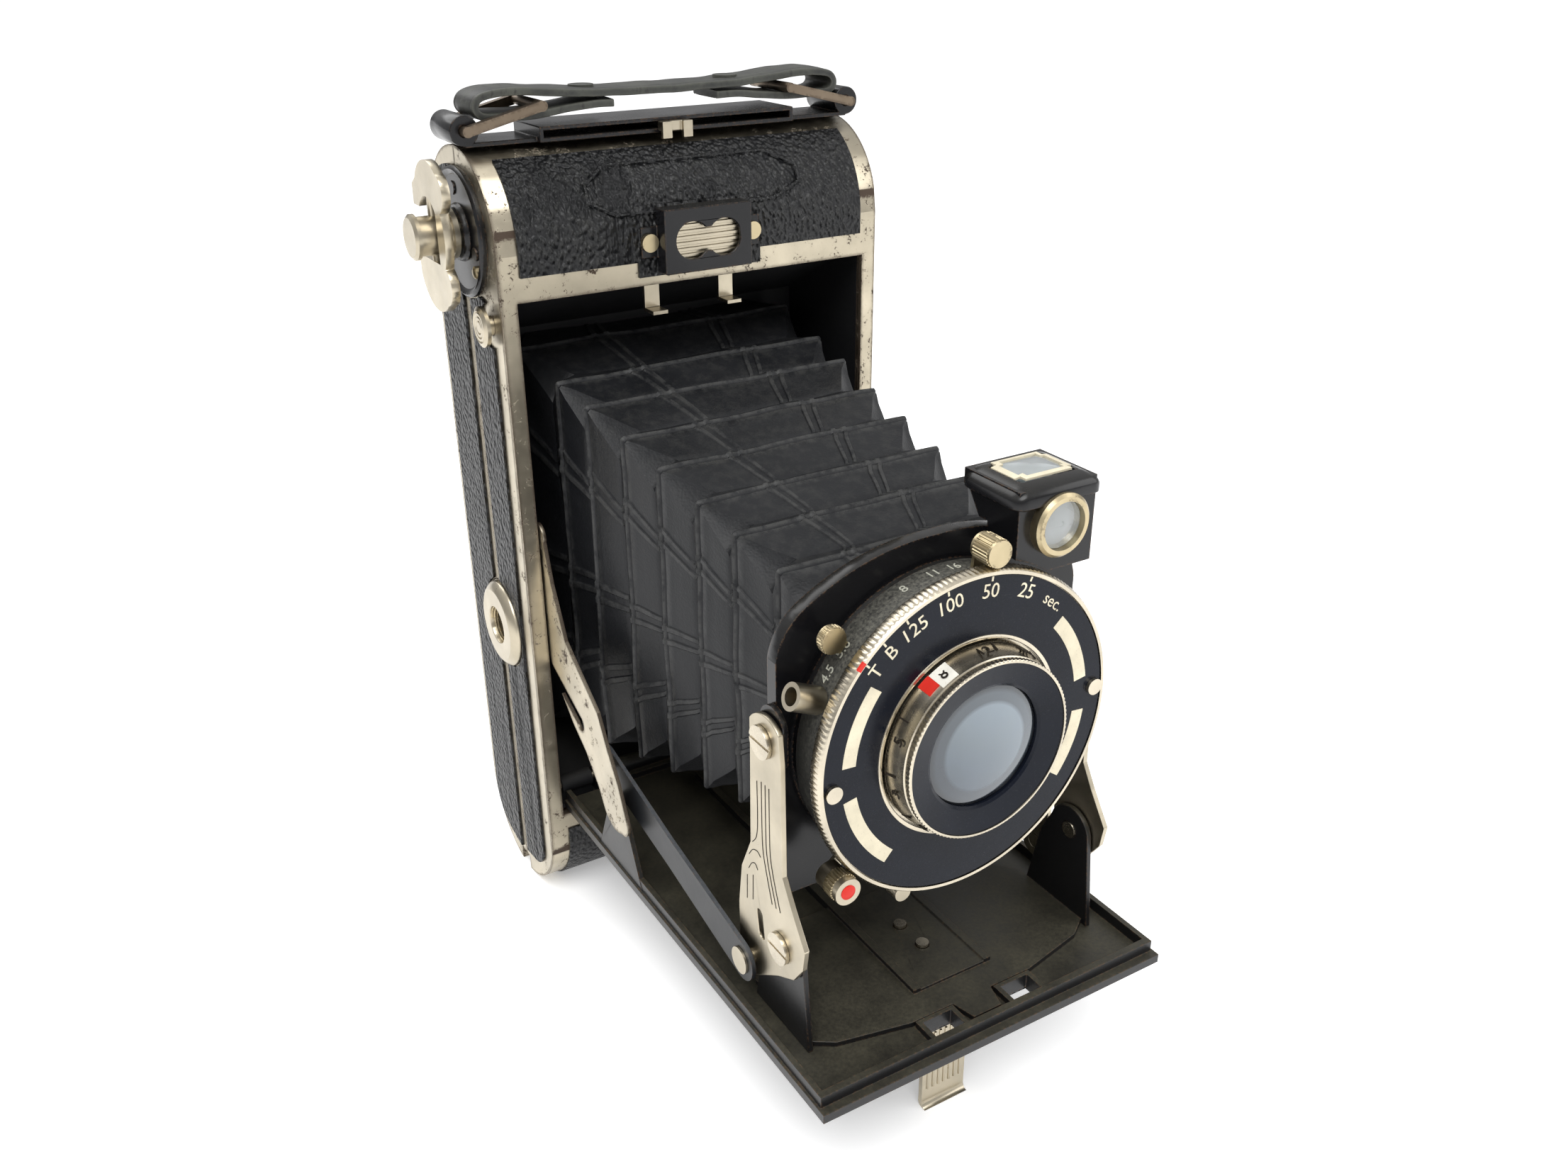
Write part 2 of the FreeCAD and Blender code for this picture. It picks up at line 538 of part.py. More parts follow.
def handle_parts():
    """Strap plate, curled lugs, wire loops, leather strap and its rivets."""
    base_z = dim("case_top") + 0.1
    strip = block("strap_strip", (-40.6, 105.0, base_z), (40.6, 116.0, base_z + 0.8))
    crown = block("strap_crown", (-27.0, 103.5, base_z), (27.0, 116.5, base_z + 2.8))
    hollow = block("strap_hollow", (-26.2, 103.4, base_z + 0.8), (26.2, 115.7, base_z + 2.1))
    lug_z = base_z + 2.9
    lugs, bores = [], []
    for i, x in enumerate((-40.6, 40.6)):
        lugs.append(rod(f"lug{i}", "Y", (x, 105.0, lug_z), 2.7, 11.0))
        bores.append(rod(f"lug_bore{i}", "Y", (x, 104.0, lug_z), 1.0, 13.0))
    solid = fuse("strap_plate_solid", strip, crown, *lugs)
    node("handle_plate", cut("strap_plate_done", solid, hollow, *bores))
    for i, side in enumerate((-1, 1)):
        pin_x = side * 40.6
        far_x, far_z = side * 26.2, base_z + 6.4
        wires = [rod(f"loop{i}_pin", "Y", (pin_x, 103.0, lug_z), 0.95, 15.0),
                 rod(f"loop{i}_far", "Y", (far_x, 103.0, far_z), 0.95, 15.0)]
        for k, y in enumerate((103.0, 116.3)):
            run = math.hypot(far_x - pin_x, far_z - lug_z)
            arm = doc.addObject("Part::Box", f"loop{i}_arm{k}")
            arm.Length = run
            arm.Width = 1.7
            arm.Height = 1.7
            slope = math.degrees(math.atan2(far_z - lug_z, abs(far_x - pin_x)))
            turn = FreeCAD.Rotation(V(0, 1, 0), -slope if side < 0 else slope - 180)
            offset = turn.multVec(V(0, 0, -0.85))
            arm.Placement = FreeCAD.Placement(V(pin_x, y, lug_z) + offset, turn)
            wires.append(arm)
        node(f"strap_loop_{'left' if side < 0 else 'right'}", fuse(f"loop{i}_solid", *wires))
    top = base_z + 9.6
    outer = plate("strap_outer", "Y", 105.2, 10.6, (-30.0, base_z + 3.9),
                  [(30.0, base_z + 3.9), (36.4, base_z + 4.6, 38.6, base_z + 7.4),
                   (36.4, top, 31.0, top), (18.0, top - 1.2), (-18.0, top - 1.2),
                   (-31.0, top), (-36.4, top, -38.6, base_z + 7.4),
                   (-36.4, base_z + 4.6, -30.0, base_z + 3.9)])
    eyes = []
    for i, side in enumerate((-1, 1)):
        eyes.append(plate(f"strap_eye{i}", "Y", 104.0, 13.0, (side * 20.5, base_z + 5.2),
                          [(side * 32.0, base_z + 5.2),
                           (side * 35.2, base_z + 5.9, side * 36.8, base_z + 7.3),
                           (side * 34.4, top - 1.7, side * 31.0, top - 1.7),
                           (side * 20.5, base_z + 7.2)]))
    under = block("strap_gap", (-15.0, 104.0, base_z + 2.8), (15.0, 118.0, base_z + 6.4))
    node("handle_strap", cut("strap_done", outer, under, *eyes))
    rivets = [rod(f"strap_rivet{i}", "Z", (x, 110.5, top - 1.15), 2.4, 0.5)
              for i, x in enumerate((-15.4, 15.4))]
    node("handle_rivets", group("strap_rivets", *rivets))
    tongue = block("latch_tongue", (-2.4, 103.6, base_z + 0.9), (2.4, 112.0, base_z + 1.7))
    brow = block("latch_brow", (-3.2, 102.0, base_z + 0.4), (3.2, 103.4, base_z + 2.2))
    bridge = block("latch_bridge", (-2.4, 103.0, base_z + 0.9), (2.4, 103.7, base_z + 1.7))
    lobes = [block(f"latch_lobe{i}", (x, 101.2, base_z - 0.9), (x + 2.0, 102.2, base_z + 2.2))
             for i, x in enumerate((-3.2, 1.2))]
    node("back_latch", fuse("latch_solid", tongue, brow, bridge, *lobes))


# ------------------------------------------------------------------------- bed

def bed():
    """Drop bed: a thin tray with a rounded ridge inside its lip, and two hook slots."""
    half = dim("bed_width") / 2
    top, thick, front = dim("bed_top"), dim("bed_thick"), dim("bed_front")
    base = block("bed_base", (-half, front, top - thick), (half, 95.6, top - 2.8),
                 Length="dims.bed_width")
    ridge_out = block("bed_ridge_outer", (-36.1, front + 1.6, top - 3.0), (36.1, 95.6, top - 0.6))
    ridge_in = block("bed_ridge_inner", (-35.0, front + 3.0, top - 4.0), (35.0, 96.6, top + 1))
    rims = [block(f"bed_slot_rim{i}", (x, front + 2.0, top - 3.0), (x + 8.0, front + 8.4,
                                                                   top - 1.6))
            for i, x in enumerate((-12.5, 4.5))]
    tray = fuse("bed_tray", base, cut("bed_ridge", ridge_out, ridge_in), *rims)
    barrel = rod("bed_barrel", "X", (-28.6, dim("hinge_y"), dim("hinge_z")), 2.0, 57.2)
    web = block("bed_web", (-28.6, 95.0, top - 3.6), (28.6, 98.2, top - 1.4))
    slots = [block(f"bed_slot{i}", (x, front + 3.0, top - thick - 1), (x + 6.0, front + 7.6, top))
             for i, x in enumerate((-11.5, 5.5))]
    body = fuse("bed_solid", tray, barrel, web)
    bore = rod("bed_bore", "X", (-40, dim("hinge_y"), dim("hinge_z")), 0.95, 80)
    ears = []
    for i, x in enumerate((-36.2, 35.2)):
        ears.append(plate(f"bed_ear{i}", "X", x, 1.0, (58.0, top - 3.4),
                          [(78.0, top - 3.4), (71.6, dim("root_z") + 0.4),
                           (dim("root_y"), dim("root_z") + 3.6, 64.4, dim("root_z") + 0.4)],
                          holes=[(dim("root_y"), dim("root_z"), 1.25)]))
    tray = fuse("bed_joined", cut("bed_cut", body, bore, *slots), *ears)
    leg_y, leg_z = 5.0, top - thick - 2.3
    bracket = [block(f"leg_ear{i}", (x, 3.5, leg_z - 1.3), (x + 1.0, 6.5, top - thick + 0.5))
               for i, x in enumerate((-8.1, 2.9))]
    hole = rod("leg_bracket_hole", "X", (-9, leg_y, leg_z), 0.85, 14)
    node("bed", cut("bed_done", fuse("bed_with_bracket", tray, *bracket), hole))
    node("bed_hinge_pin", rod("bed_pin", "X", (-37.4, dim("hinge_y"), dim("hinge_z")), 0.9, 74.8))


def bed_leather():
    top = dim("bed_top") - dim("bed_thick")
    panel = block("bed_panel", (-35.4, -7.0, top - 0.5), (35.4, 93.0, top))
    foot = block("bed_panel_cut", (-8.6, 2.4, top - 1), (4.4, 7.6, top + 1))
    slots = [block(f"panel_slot{i}", (x, -5.4, top - 1), (x + 6.4, -0.4, top + 1))
             for i, x in enumerate((-11.7, 5.3))]
    node("bed_leather", cut("bed_leather_done", panel, foot, *slots))


def bed_leg():
    """Fold-down ribbed foot under the bed, with its pin."""
    low = dim("bed_top") - dim("bed_thick")
    y, z = 5.0, low - 2.3
    foot = dim("case_bottom")
    strip = plate("leg_strip", "X", -6.9, 9.6, (y - 0.5, z - 1.0),
                  [(y - 0.5, foot + 1.2), (y - 0.9, foot + 0.3, y - 1.8, foot),
                   (y - 0.6, foot), (y + 0.3, foot + 0.4, y + 0.5, foot + 1.2),
                   (y + 0.5, z - 1.0)])
    barrel = rod("leg_barrel", "X", (-6.9, y, z), 1.6, 9.6)
    ribs = [rod(f"leg_rib{i}", "Z", (-5.7 + 1.2 * i, y - 0.5, foot + 4.0), 0.25, 13.0)
            for i in range(7)]
    pin = rod("leg_pin", "X", (-8.1, y, z), 0.8, 12.0)
    node("bed_leg", fuse("leg_done", strip, barrel, pin, *ribs))


def carriage():
    """Pressed plate screwed to the bed; its side ears carry the struts."""
    floor = dim("bed_top") - 2.8
    y, z = dim("foot_y"), dim("foot_z")
    outline = [(-30.4, 24.0), (-30.4, 6.0), (-26.5, 3.4), (-13.0, 0.5), (-4.2, 0.5),
               (-3.0, -4.0), (3.0, -4.0), (4.2, 0.5), (13.0, 0.5), (26.5, 3.4), (30.4, 6.0),
               (30.4, 24.0), (22.0, 34.0), (-22.0, 34.0)]
    base = plate("carriage_base", "Z", floor, 1.0, outline[0], outline[1:])
    rails = [block(f"carriage_rail{i}", (x, 6.0, floor + 1.0), (x + 1.6, 88.0, floor + 1.8))
             for i, x in enumerate((-8.6, 7.0))]
    track = block("carriage_track", (-7.0, 6.0, floor + 1.0), (7.0, 33.0, floor + 1.5))
    tail = block("carriage_tail", (-8.6, 30.0, floor), (8.6, 88.0, floor + 1.0))
    ears = []
    for i, x in enumerate((-31.4, 30.4)):
        ears.append(plate(f"carriage_ear{i}", "X", x, 1.0, (4.6, floor),
                          [(22.0, floor), (19.0, z - 4.0), (y + 4.9, z + 1.0),
                           (y, z + 4.9, y - 4.9, z + 1.0)],
                          holes=[(y, z, 1.65)]))
    solid = fuse("carriage_solid", base, tail, track, *rails, *ears)
    holes = [rod(f"carriage_hole{i}", "Z", (x, cy, floor - 1), 1.25, 4)
             for i, (x, cy) in enumerate(((-0.2, 22.0), (0.2, 15.5)))]
    node("carriage_plate", cut("carriage_done", solid, *holes))
    screws = [rod(f"carriage_screw{i}", "Z", (x, cy, floor), 1.2, 2.1)
              for i, (x, cy) in enumerate(((-0.2, 22.0), (0.2, 15.5)))]
    node("carriage_screws", group("carriage_screw_pair", *screws))


def pair(name, x_outer, depth, start, steps, holes=(), **sizes):
    """Mirror-image plates on the left and right side of the camera."""
    left = plate(name + "_l", "X", -x_outer, depth, start, steps, holes, **sizes)
    right = plate(name + "_r", "X", x_outer - depth, depth, start, steps, holes, **sizes)
    return left, right


def braces():
    """Curved side braces with their studs, pivoted on the ears of the bed."""
    ry, rz = dim("root_y"), dim("root_z")
    steps = [(63.8, -30.0), (67.8, -24.2), (71.6, -17.6), (79.3, -12.4), (85.4, -8.2),
             (87.6, -3.4), (90.4, 2.4), (92.6, 10.4), (94.2, 13.6, 97.2, 12.2),
             (97.0, 0.0), (95.3, -12.6), (93.3, -17.5), (89.7, -21.6), (84.5, -26.4),
             (78.8, -30.1), (73.4, -35.6), (ry + 3.0, rz - 1.0),
             (ry - 0.6, rz - 3.0, ry - 4.4, rz - 2.2), (61.2, -40.0, 60.9, -36.5)]
    left, right = pair("brace", 37.4, 0.7, (60.9, -36.5), steps)
    done = []
    for i, half in enumerate((left, right)):
        side = 1 if i else -1
        x = 35.7 if i else -38.4
        slot = plate(f"brace_slot{i}", "X", x, 2.7, (79.8, -23.0),
                     [(79.6, -25.8, 82.2, -25.2), (95.6, -19.0), (95.2, -16.2)])
        root = rod(f"brace_root{i}", "X", (min(side * 35.05, side * 37.4), ry, rz), 1.2, 2.35)
        stud = rod(f"brace_stud{i}", "X", (min(side * 34.5, side * 37.4), dim("tail_y"),
                                           dim("tail_z")), 1.15, 2.9)
        done.append(fuse(f"brace_done{i}", cut(f"brace_cut{i}", half, slot), root, stud))
    node("braces", group("brace_set", *done))


def struts():
    """Nickel struts that carry the lens standard."""
    ay, az, by, bz = dim("foot_y"), dim("foot_z"), dim("head_y"), dim("head_z")
    ky, kz = dim("knee_y"), dim("knee_z")
    start = (11.0, 2.0)
    steps = [(11.6, bz + 3.4), (by - 0.4, bz + 4.9, by + 4.2, bz + 2.4), (20.6, 0.0),
             (21.0, -18.0), (24.2, -24.8), (25.4, -33.1), (ky + 3.5, kz + 0.8),
             (ky + 1.6, kz - 3.1, ky - 1.6, kz - 3.1), (12.4, -40.4),
             (7.4, -37.6), (4.6, -33.6), (3.9, -29.4), (8.0, -23.4), (10.7, -18.9)]
    left, right = pair("strut", 32.6, 1.0, start, steps,
                       holes=[(ay, az, 1.62), (by, bz, 1.62), (ky, kz, 1.52)],
                       Length="dims.sheet_gauge")
    slots = [plate(f"strut_slot{i}", "X", x, 3, (17.4, -31.2),
                   [(18.3, -30.4, 19.2, -31.4), (18.6, -35.4), (17.7, -36.2, 16.8, -35.4)])
             for i, x in enumerate((-33.6, 30.6))]
    node("struts", group("strut_pair", cut("strut_left", left, slots[0]),
                         cut("strut_right", right, slots[1])))


def pivot_hardware():
    """Four large slotted pivot screws, and the rivets of the links."""
    screws = []
    rivets = []
    for i, side in enumerate((-1, 1)):
        for k, spot in enumerate(("foot", "head")):
            y, z = dim(spot + "_y"), dim(spot + "_z")
            cap = rod(f"{spot}_cap{i}", "X", (min(side * 32.65, side * 33.4), y, z), 2.9, 0.75)
            stem = rod(f"{spot}_stem{i}", "X", (min(side * 30.2, side * 32.65), y, z), 1.6, 2.45)
            slot = block(f"{spot}_groove{i}", (min(side * 33.15, side * 33.6), y - 3.2, z - 0.25),
                         (max(side * 33.15, side * 33.6), y + 3.2, z + 0.25))
            screws.append(cut(f"{spot}_screw{i}", fuse(f"{spot}_solid{i}", cap, stem), slot))
        y, z = dim("knee_y"), dim("knee_z")
        shank = rod(f"knee_shank{i}", "X", (min(side * 31.6, side * 34.85), y, z), 1.5, 3.25)
        head = rod(f"knee_head{i}", "X", (min(side * 34.45, side * 34.85), y, z), 2.5, 0.4)
        rivets.append(fuse(f"knee_rivet{i}", shank, head))
    node("strut_screws", group("strut_screw_set", *screws))
    node("link_rivets", group("link_rivet_set", *rivets))


def links():
    """Black links between the braces and the struts."""
    ky, kz, ty, tz = dim("knee_y"), dim("knee_z"), dim("tail_y"), dim("tail_z")
    run = math.hypot(ty - ky, tz - kz)
    cy, cz = (ty - ky) / run, (tz - kz) / run

    def along(distance, offset):
        return (ky + cy * distance - cz * offset, kz + cz * distance + cy * offset)

    start = along(0, 3.9)
    steps = [along(-3.9, 0) + along(0, -3.9), along(run * 0.5, -3.4), along(run, -3.9),
             along(run + 3.9, 0) + along(run, 3.9), along(run * 0.5, 3.4)]
    gap = dim("running_gap")
    left, right = pair("link", 34.4, 0.8, start, steps, holes=[(ky, kz, 1.5 + gap)])
    node("links", group("link_pair", left, right))


# -------------------------------------------------------------------- standard

def lens_board():
    """Black standard behind the shutter, with the two ears for the struts."""
    disc = turned("board_disc", "Y", (0, 0, 0), (15.05, 13.2),
                  [(15.05, 27.2), (16.2, 27.2), (16.2, 13.2)])
    frame = plate("board_arch", "Y", 16.2, 2.6, (-30.2, 17.0),
                  [(-28.6, 21.4, -24.8, 25.2), (-13.2, 30.3, 0.0, 31.8),
                   (13.2, 30.3, 24.8, 25.2), (28.6, 21.4, 30.2, 17.0), (30.2, -27.5),
                   (-30.2, -27.5)], holes=[(0, 0, 13.2)])
    y, z = dim("head_y"), dim("head_z")
    ears = []
    for i, x in enumerate((-31.4, 30.4)):
        ears.append(plate(f"board_ear{i}", "X", x, 1.0, (12.2, z - 3.0),
                          [(12.2, z + 3.0), (y, z + 6.2, 19.2, z + 3.0), (19.2, z - 7.0),
                           (16.0, z - 7.0)], holes=[(y, z, 1.65)]))
    arms = [block(f"board_arm{i}", (x, 16.2, z - 6.8), (x + 1.2, 18.8, z + 3.0))
            for i, x in enumerate((-30.9, 29.7))]
    bores = [rod(f"board_bore{i}", "X", (x, y, z), 1.65, 4) for i, x in enumerate((-32.4, 28.4))]
    node("lens_board", cut("board_done", fuse("board_joined", disc, frame, *ears, *arms), *bores))


def bellows():
    """Leather bellows, as a plain hollow frustum between board and gate."""
    def frustum(name, front_y, back_y, inset):
        wedge = doc.addObject("Part::Wedge", name)
        wedge.Ymin, wedge.Ymax = front_y, back_y
        wedge.Xmin, wedge.Xmax = -22.4 + inset, 22.4 - inset
        wedge.Zmin, wedge.Zmax = -18.8 + inset, 25.2 - inset
        wedge.X2min, wedge.X2max = -32.0 + inset, 32.0 - inset
        wedge.Z2min, wedge.Z2max = -44.0 + inset, 44.5 - inset
        return wedge

    outer = frustum("bellows_outer", 18.9, 122.7, 0.0)
    inner = frustum("bellows_inner", 18.0, 123.5, 3.4)
    node("bellows", cut("bellows_done", outer, inner))


def shutter():
    """Shutter housing, rings and dial, all on the lens axis."""
    radius = dim("shutter_radius")
    housing = turned("housing_turned", "Y", (0, 0, 0), (5.6, 12.9),
                     [(5.6, 15.9), (9.6, 15.9), (9.6, radius - 0.8), (10.4, radius),
                      (15.0, radius), (15.0, 12.9)])
    node("shutter_case", housing)
    rim = dim("toothed_radius")
    speed = turned("speed_turned", "Y", (0, 0, 0), (6.35, 16.0),
                   [(6.35, 28.35), (5.3, 28.35), (5.3, 28.9), (5.7, rim), (9.5, rim),
                    (9.5, 16.0)])
    node("speed_ring", speed)
    dial = turned("dial_turned", "Y", (0, 0, 0), (5.5, 17.3),
                  [(5.5, dim("dial_radius")), (6.3, dim("dial_radius")), (6.3, 17.3)])
    holes = [rod(f"dial_hole{i}", "Y", radial(26.6, a, 5.0), 1.05, 2)
             for i, a in enumerate((184, 3))]
    node("dial_plate", cut("dial_done", dial, *holes))
    screws = []
    for i, a in enumerate((184, 3)):
        head = rod(f"dial_head{i}", "Y", radial(26.6, a, 4.8), 1.5, 0.65)
        stem = rod(f"dial_stem{i}", "Y", radial(26.6, a, 5.45), 1.0, 0.85)
        screws.append(fuse(f"dial_screw{i}", head, stem))
    node("dial_screws", group("dial_screw_pair", *screws))
    blades = []
    for i in range(5):
        blade = rod(f"blade{i}", "Y", (0, 11.0, 0), 12.8, 0.2)
        blade.Angle = 71.8
        turn = FreeCAD.Rotation(V(0, 1, 0), 72 * i)
        blade.Placement.Rotation = turn.multiply(blade.Placement.Rotation)
        blades.append(blade)
    node("shutter_blades", group("blade_set", *blades))


def lens():
    """Front-cell focusing lens and the fixed rear cell."""
    rim = dim("rim_radius")
    focus = turned("focus_turned", "Y", (0, 0, 0), (0.6, 15.45),
                   [(0.0, 15.45), (0.0, rim), (2.6, rim), (2.9, 16.4), (5.2, 16.9), (5.2, 16.1),
                    (5.45, 16.1), (5.45, 13.0), (2.3, 13.0), (2.3, 15.45)])
    node("focus_ring", focus)
    ring = turned("name_turned", "Y", (0, 0, 0), (0.25, 15.4),
                  [(2.25, 15.4), (2.25, 13.0), (4.6, 13.0), (4.6, 10.9), (1.5, 10.9),
                   (1.2, 11.4)])
    node("lens_ring", ring)
    glass = turned("front_glass", "Y", (0, 0, 0), (0.9, 0),
                   [(0.9, 1.0), (1.15, 5.6, 2.0, 10.8), (4.2, 10.8), (4.6, 5.6, 4.8, 1.0),
                    (4.8, 0)])
    node("front_lens", glass)
    cell = turned("rear_cell_turned", "Y", (0, 0, 0), (13.0, 9.6),
                  [(13.0, 12.8), (18.6, 12.8), (19.0, 12.2), (19.0, 9.6)])
    rear = turned("rear_glass", "Y", (0, 0, 0), (13.6, 0),
                  [(13.6, 9.5), (17.4, 9.5), (18.2, 5.0, 18.5, 1.0), (18.5, 0)])
    node("rear_cell", group("rear_set", cell, rear))


def lever(name, degrees, arm_y, knob_y, knob_length, knob_radius, reach):
    """A small arm that sweeps round the housing, with a knob facing forward."""
    inner = dim("shutter_radius") + 0.1
    arm = block(name + "_arm", (inner, arm_y, -1.1), (reach, arm_y + 0.7, 1.1))
    knob = rod(name + "_knob", "Y", (reach, knob_y, 0), knob_radius, knob_length)
    for item in (arm, knob):
        base = item.Placement
        turn = FreeCAD.Placement(V(0, 0, 0), FreeCAD.Rotation(V(0, 1, 0), -degrees))
        item.Placement = turn.multiply(base)
    node(name, fuse(name + "_solid", arm, knob))


def shutter_controls():
    lever("aperture_lever", 137, 12.4, 10.8, 1.7, 2.2, 31.4)
    lever("cocking_lever", 83, 9.75, 5.2, 4.6, 2.3, 31.8)
    lever("self_timer_lever", 220, 9.75, 3.8, 6.0, 2.4, 31.9)
    lever("release_lever", 251, 11.0, 8.2, 2.9, 1.6, 31.2)
    socket = rod("cable_bush", "X", (27.5, 12.0, 0), 2.3, 5.4)
    thread = rod("cable_bore", "X", (28.4, 12.0, 0), 1.5, 6)
    for item in (socket, thread):
        turn = FreeCAD.Placement(V(0, 0, 0), FreeCAD.Rotation(V(0, 1, 0), -156))
        item.Placement = turn.multiply(item.Placement)
    node("cable_socket", cut("cable_socket_done", socket, thread))


def finder():
    """Waist-level brilliant finder: eye lens in front, mirror, and field lens on top."""
    x0, x1 = 10.0, 26.0
    block_body = plate("finder_block", "X", x0, x1 - x0, (8.6, 24.2),
                       [(8.6, 37.6), (8.6, 39.2), (22.6, 39.2), (22.6, 36.4), (21.4, 36.4),
                        (13.0, 24.2)])
    clear = rod("finder_clear", "Y", (0, 0, 0), 29.5, 20)
    behind = block("finder_behind", (0, 16.15, 20), (34, 19, 31.95))
    well = plate("finder_well", "X", x0 + 0.9, x1 - x0 - 1.8, (9.6, 30.9),
                 [(9.6, 40.0), (21.4, 40.0), (21.4, 37.6), (19.9, 37.6), (15.2, 30.9)])
    eye = rod("finder_eye", "Y", (18.0, 8.0, 32.6), 4.6, 3)
    node("finder_body", cut("finder_done", block_body, clear, behind, well, eye))
    ring = turned("finder_ring_turned", "Y", (18.0, 8.6, 32.6), (0.9, 4.2),
                  [(0.9, 4.55), (0, 4.55), (0, 5.5), (-1.6, 5.5), (-2.1, 5.0), (-2.1, 4.2)])
    node("finder_ring", ring)
    eye_glass = turned("finder_eye_glass", "Y", (18.0, 8.6, 32.6), (-1.3, 0),
                       [(-0.9, 4.15), (0.8, 4.15), (0.8, 0)])
    top_glass = block("finder_top_glass", (x0 + 1.0, 9.7, 37.7), (x1 - 1.0, 21.3, 38.7))
    mirror = plate("finder_mirror", "X", x0 + 1.0, x1 - x0 - 2.0, (15.4, 31.4),
                   [(15.0, 31.7), (18.7, 37.0), (19.1, 36.7)])
    node("finder_optics", group("finder_optic_set", eye_glass, top_glass, mirror))


def build():
    for maker in (main_case, front_frame, film_gate, front_leather,
                  spools, tripod_socket, wind_plate, wind_shaft, wind_key, side_button,
                  release_parts, back_cover, back_hinge, back_leather, pressure_parts,
                  red_window, handle_parts, bed, bed_leather, bed_leg, carriage, braces,
                  struts, pivot_hardware, links, lens_board, bellows, shutter, lens,
                  shutter_controls, finder):
        maker()
    doc.recompute()


def check():
    """Stop before writing anything if an object failed or a shape is unsound."""
    bad = [o.Name for o in doc.Objects if "Invalid" in o.State or "Error" in o.State]
    for name, item in NODES.items():
        shape = item.Shape
        if shape.isNull() or not shape.isValid() or not shape.Solids:
            bad.append(name)
    if bad:
        raise RuntimeError("failed objects: " + ", ".join(bad))
    if len(NODES) > 60:
        raise RuntimeError(f"{len(NODES)} nodes")


def export():
    os.makedirs("parts", exist_ok=True)
    for name, item in NODES.items():
        item.Shape.exportStep(f"parts/{name}.step")
    print(len(NODES), "nodes")


build()
check()
export()
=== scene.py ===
"""Looks of the folding press camera: materials, soft goods and fine detail round the CAD frame."""
import math

import bpy
from mathutils import Matrix, Vector, noise


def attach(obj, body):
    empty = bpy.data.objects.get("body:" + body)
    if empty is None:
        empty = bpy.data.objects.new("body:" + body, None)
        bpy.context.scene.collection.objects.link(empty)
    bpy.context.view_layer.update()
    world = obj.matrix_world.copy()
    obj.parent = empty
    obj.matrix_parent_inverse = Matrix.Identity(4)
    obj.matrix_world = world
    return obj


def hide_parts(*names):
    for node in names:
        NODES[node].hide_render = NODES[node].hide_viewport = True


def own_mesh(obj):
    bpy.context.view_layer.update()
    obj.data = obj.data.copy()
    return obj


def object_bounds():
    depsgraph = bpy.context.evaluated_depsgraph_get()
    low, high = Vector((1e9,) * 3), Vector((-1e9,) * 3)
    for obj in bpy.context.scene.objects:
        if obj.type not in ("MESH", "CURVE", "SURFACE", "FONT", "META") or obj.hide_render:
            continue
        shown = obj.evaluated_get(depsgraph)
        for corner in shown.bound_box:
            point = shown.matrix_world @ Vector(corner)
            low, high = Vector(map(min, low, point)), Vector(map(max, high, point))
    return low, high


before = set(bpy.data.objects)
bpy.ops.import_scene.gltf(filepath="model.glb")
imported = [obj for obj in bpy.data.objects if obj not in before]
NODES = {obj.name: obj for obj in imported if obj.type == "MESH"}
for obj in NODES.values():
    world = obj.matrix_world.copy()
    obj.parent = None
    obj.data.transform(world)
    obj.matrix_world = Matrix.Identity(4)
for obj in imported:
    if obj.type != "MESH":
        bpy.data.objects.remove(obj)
CAD_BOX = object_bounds()
MM = 0.001


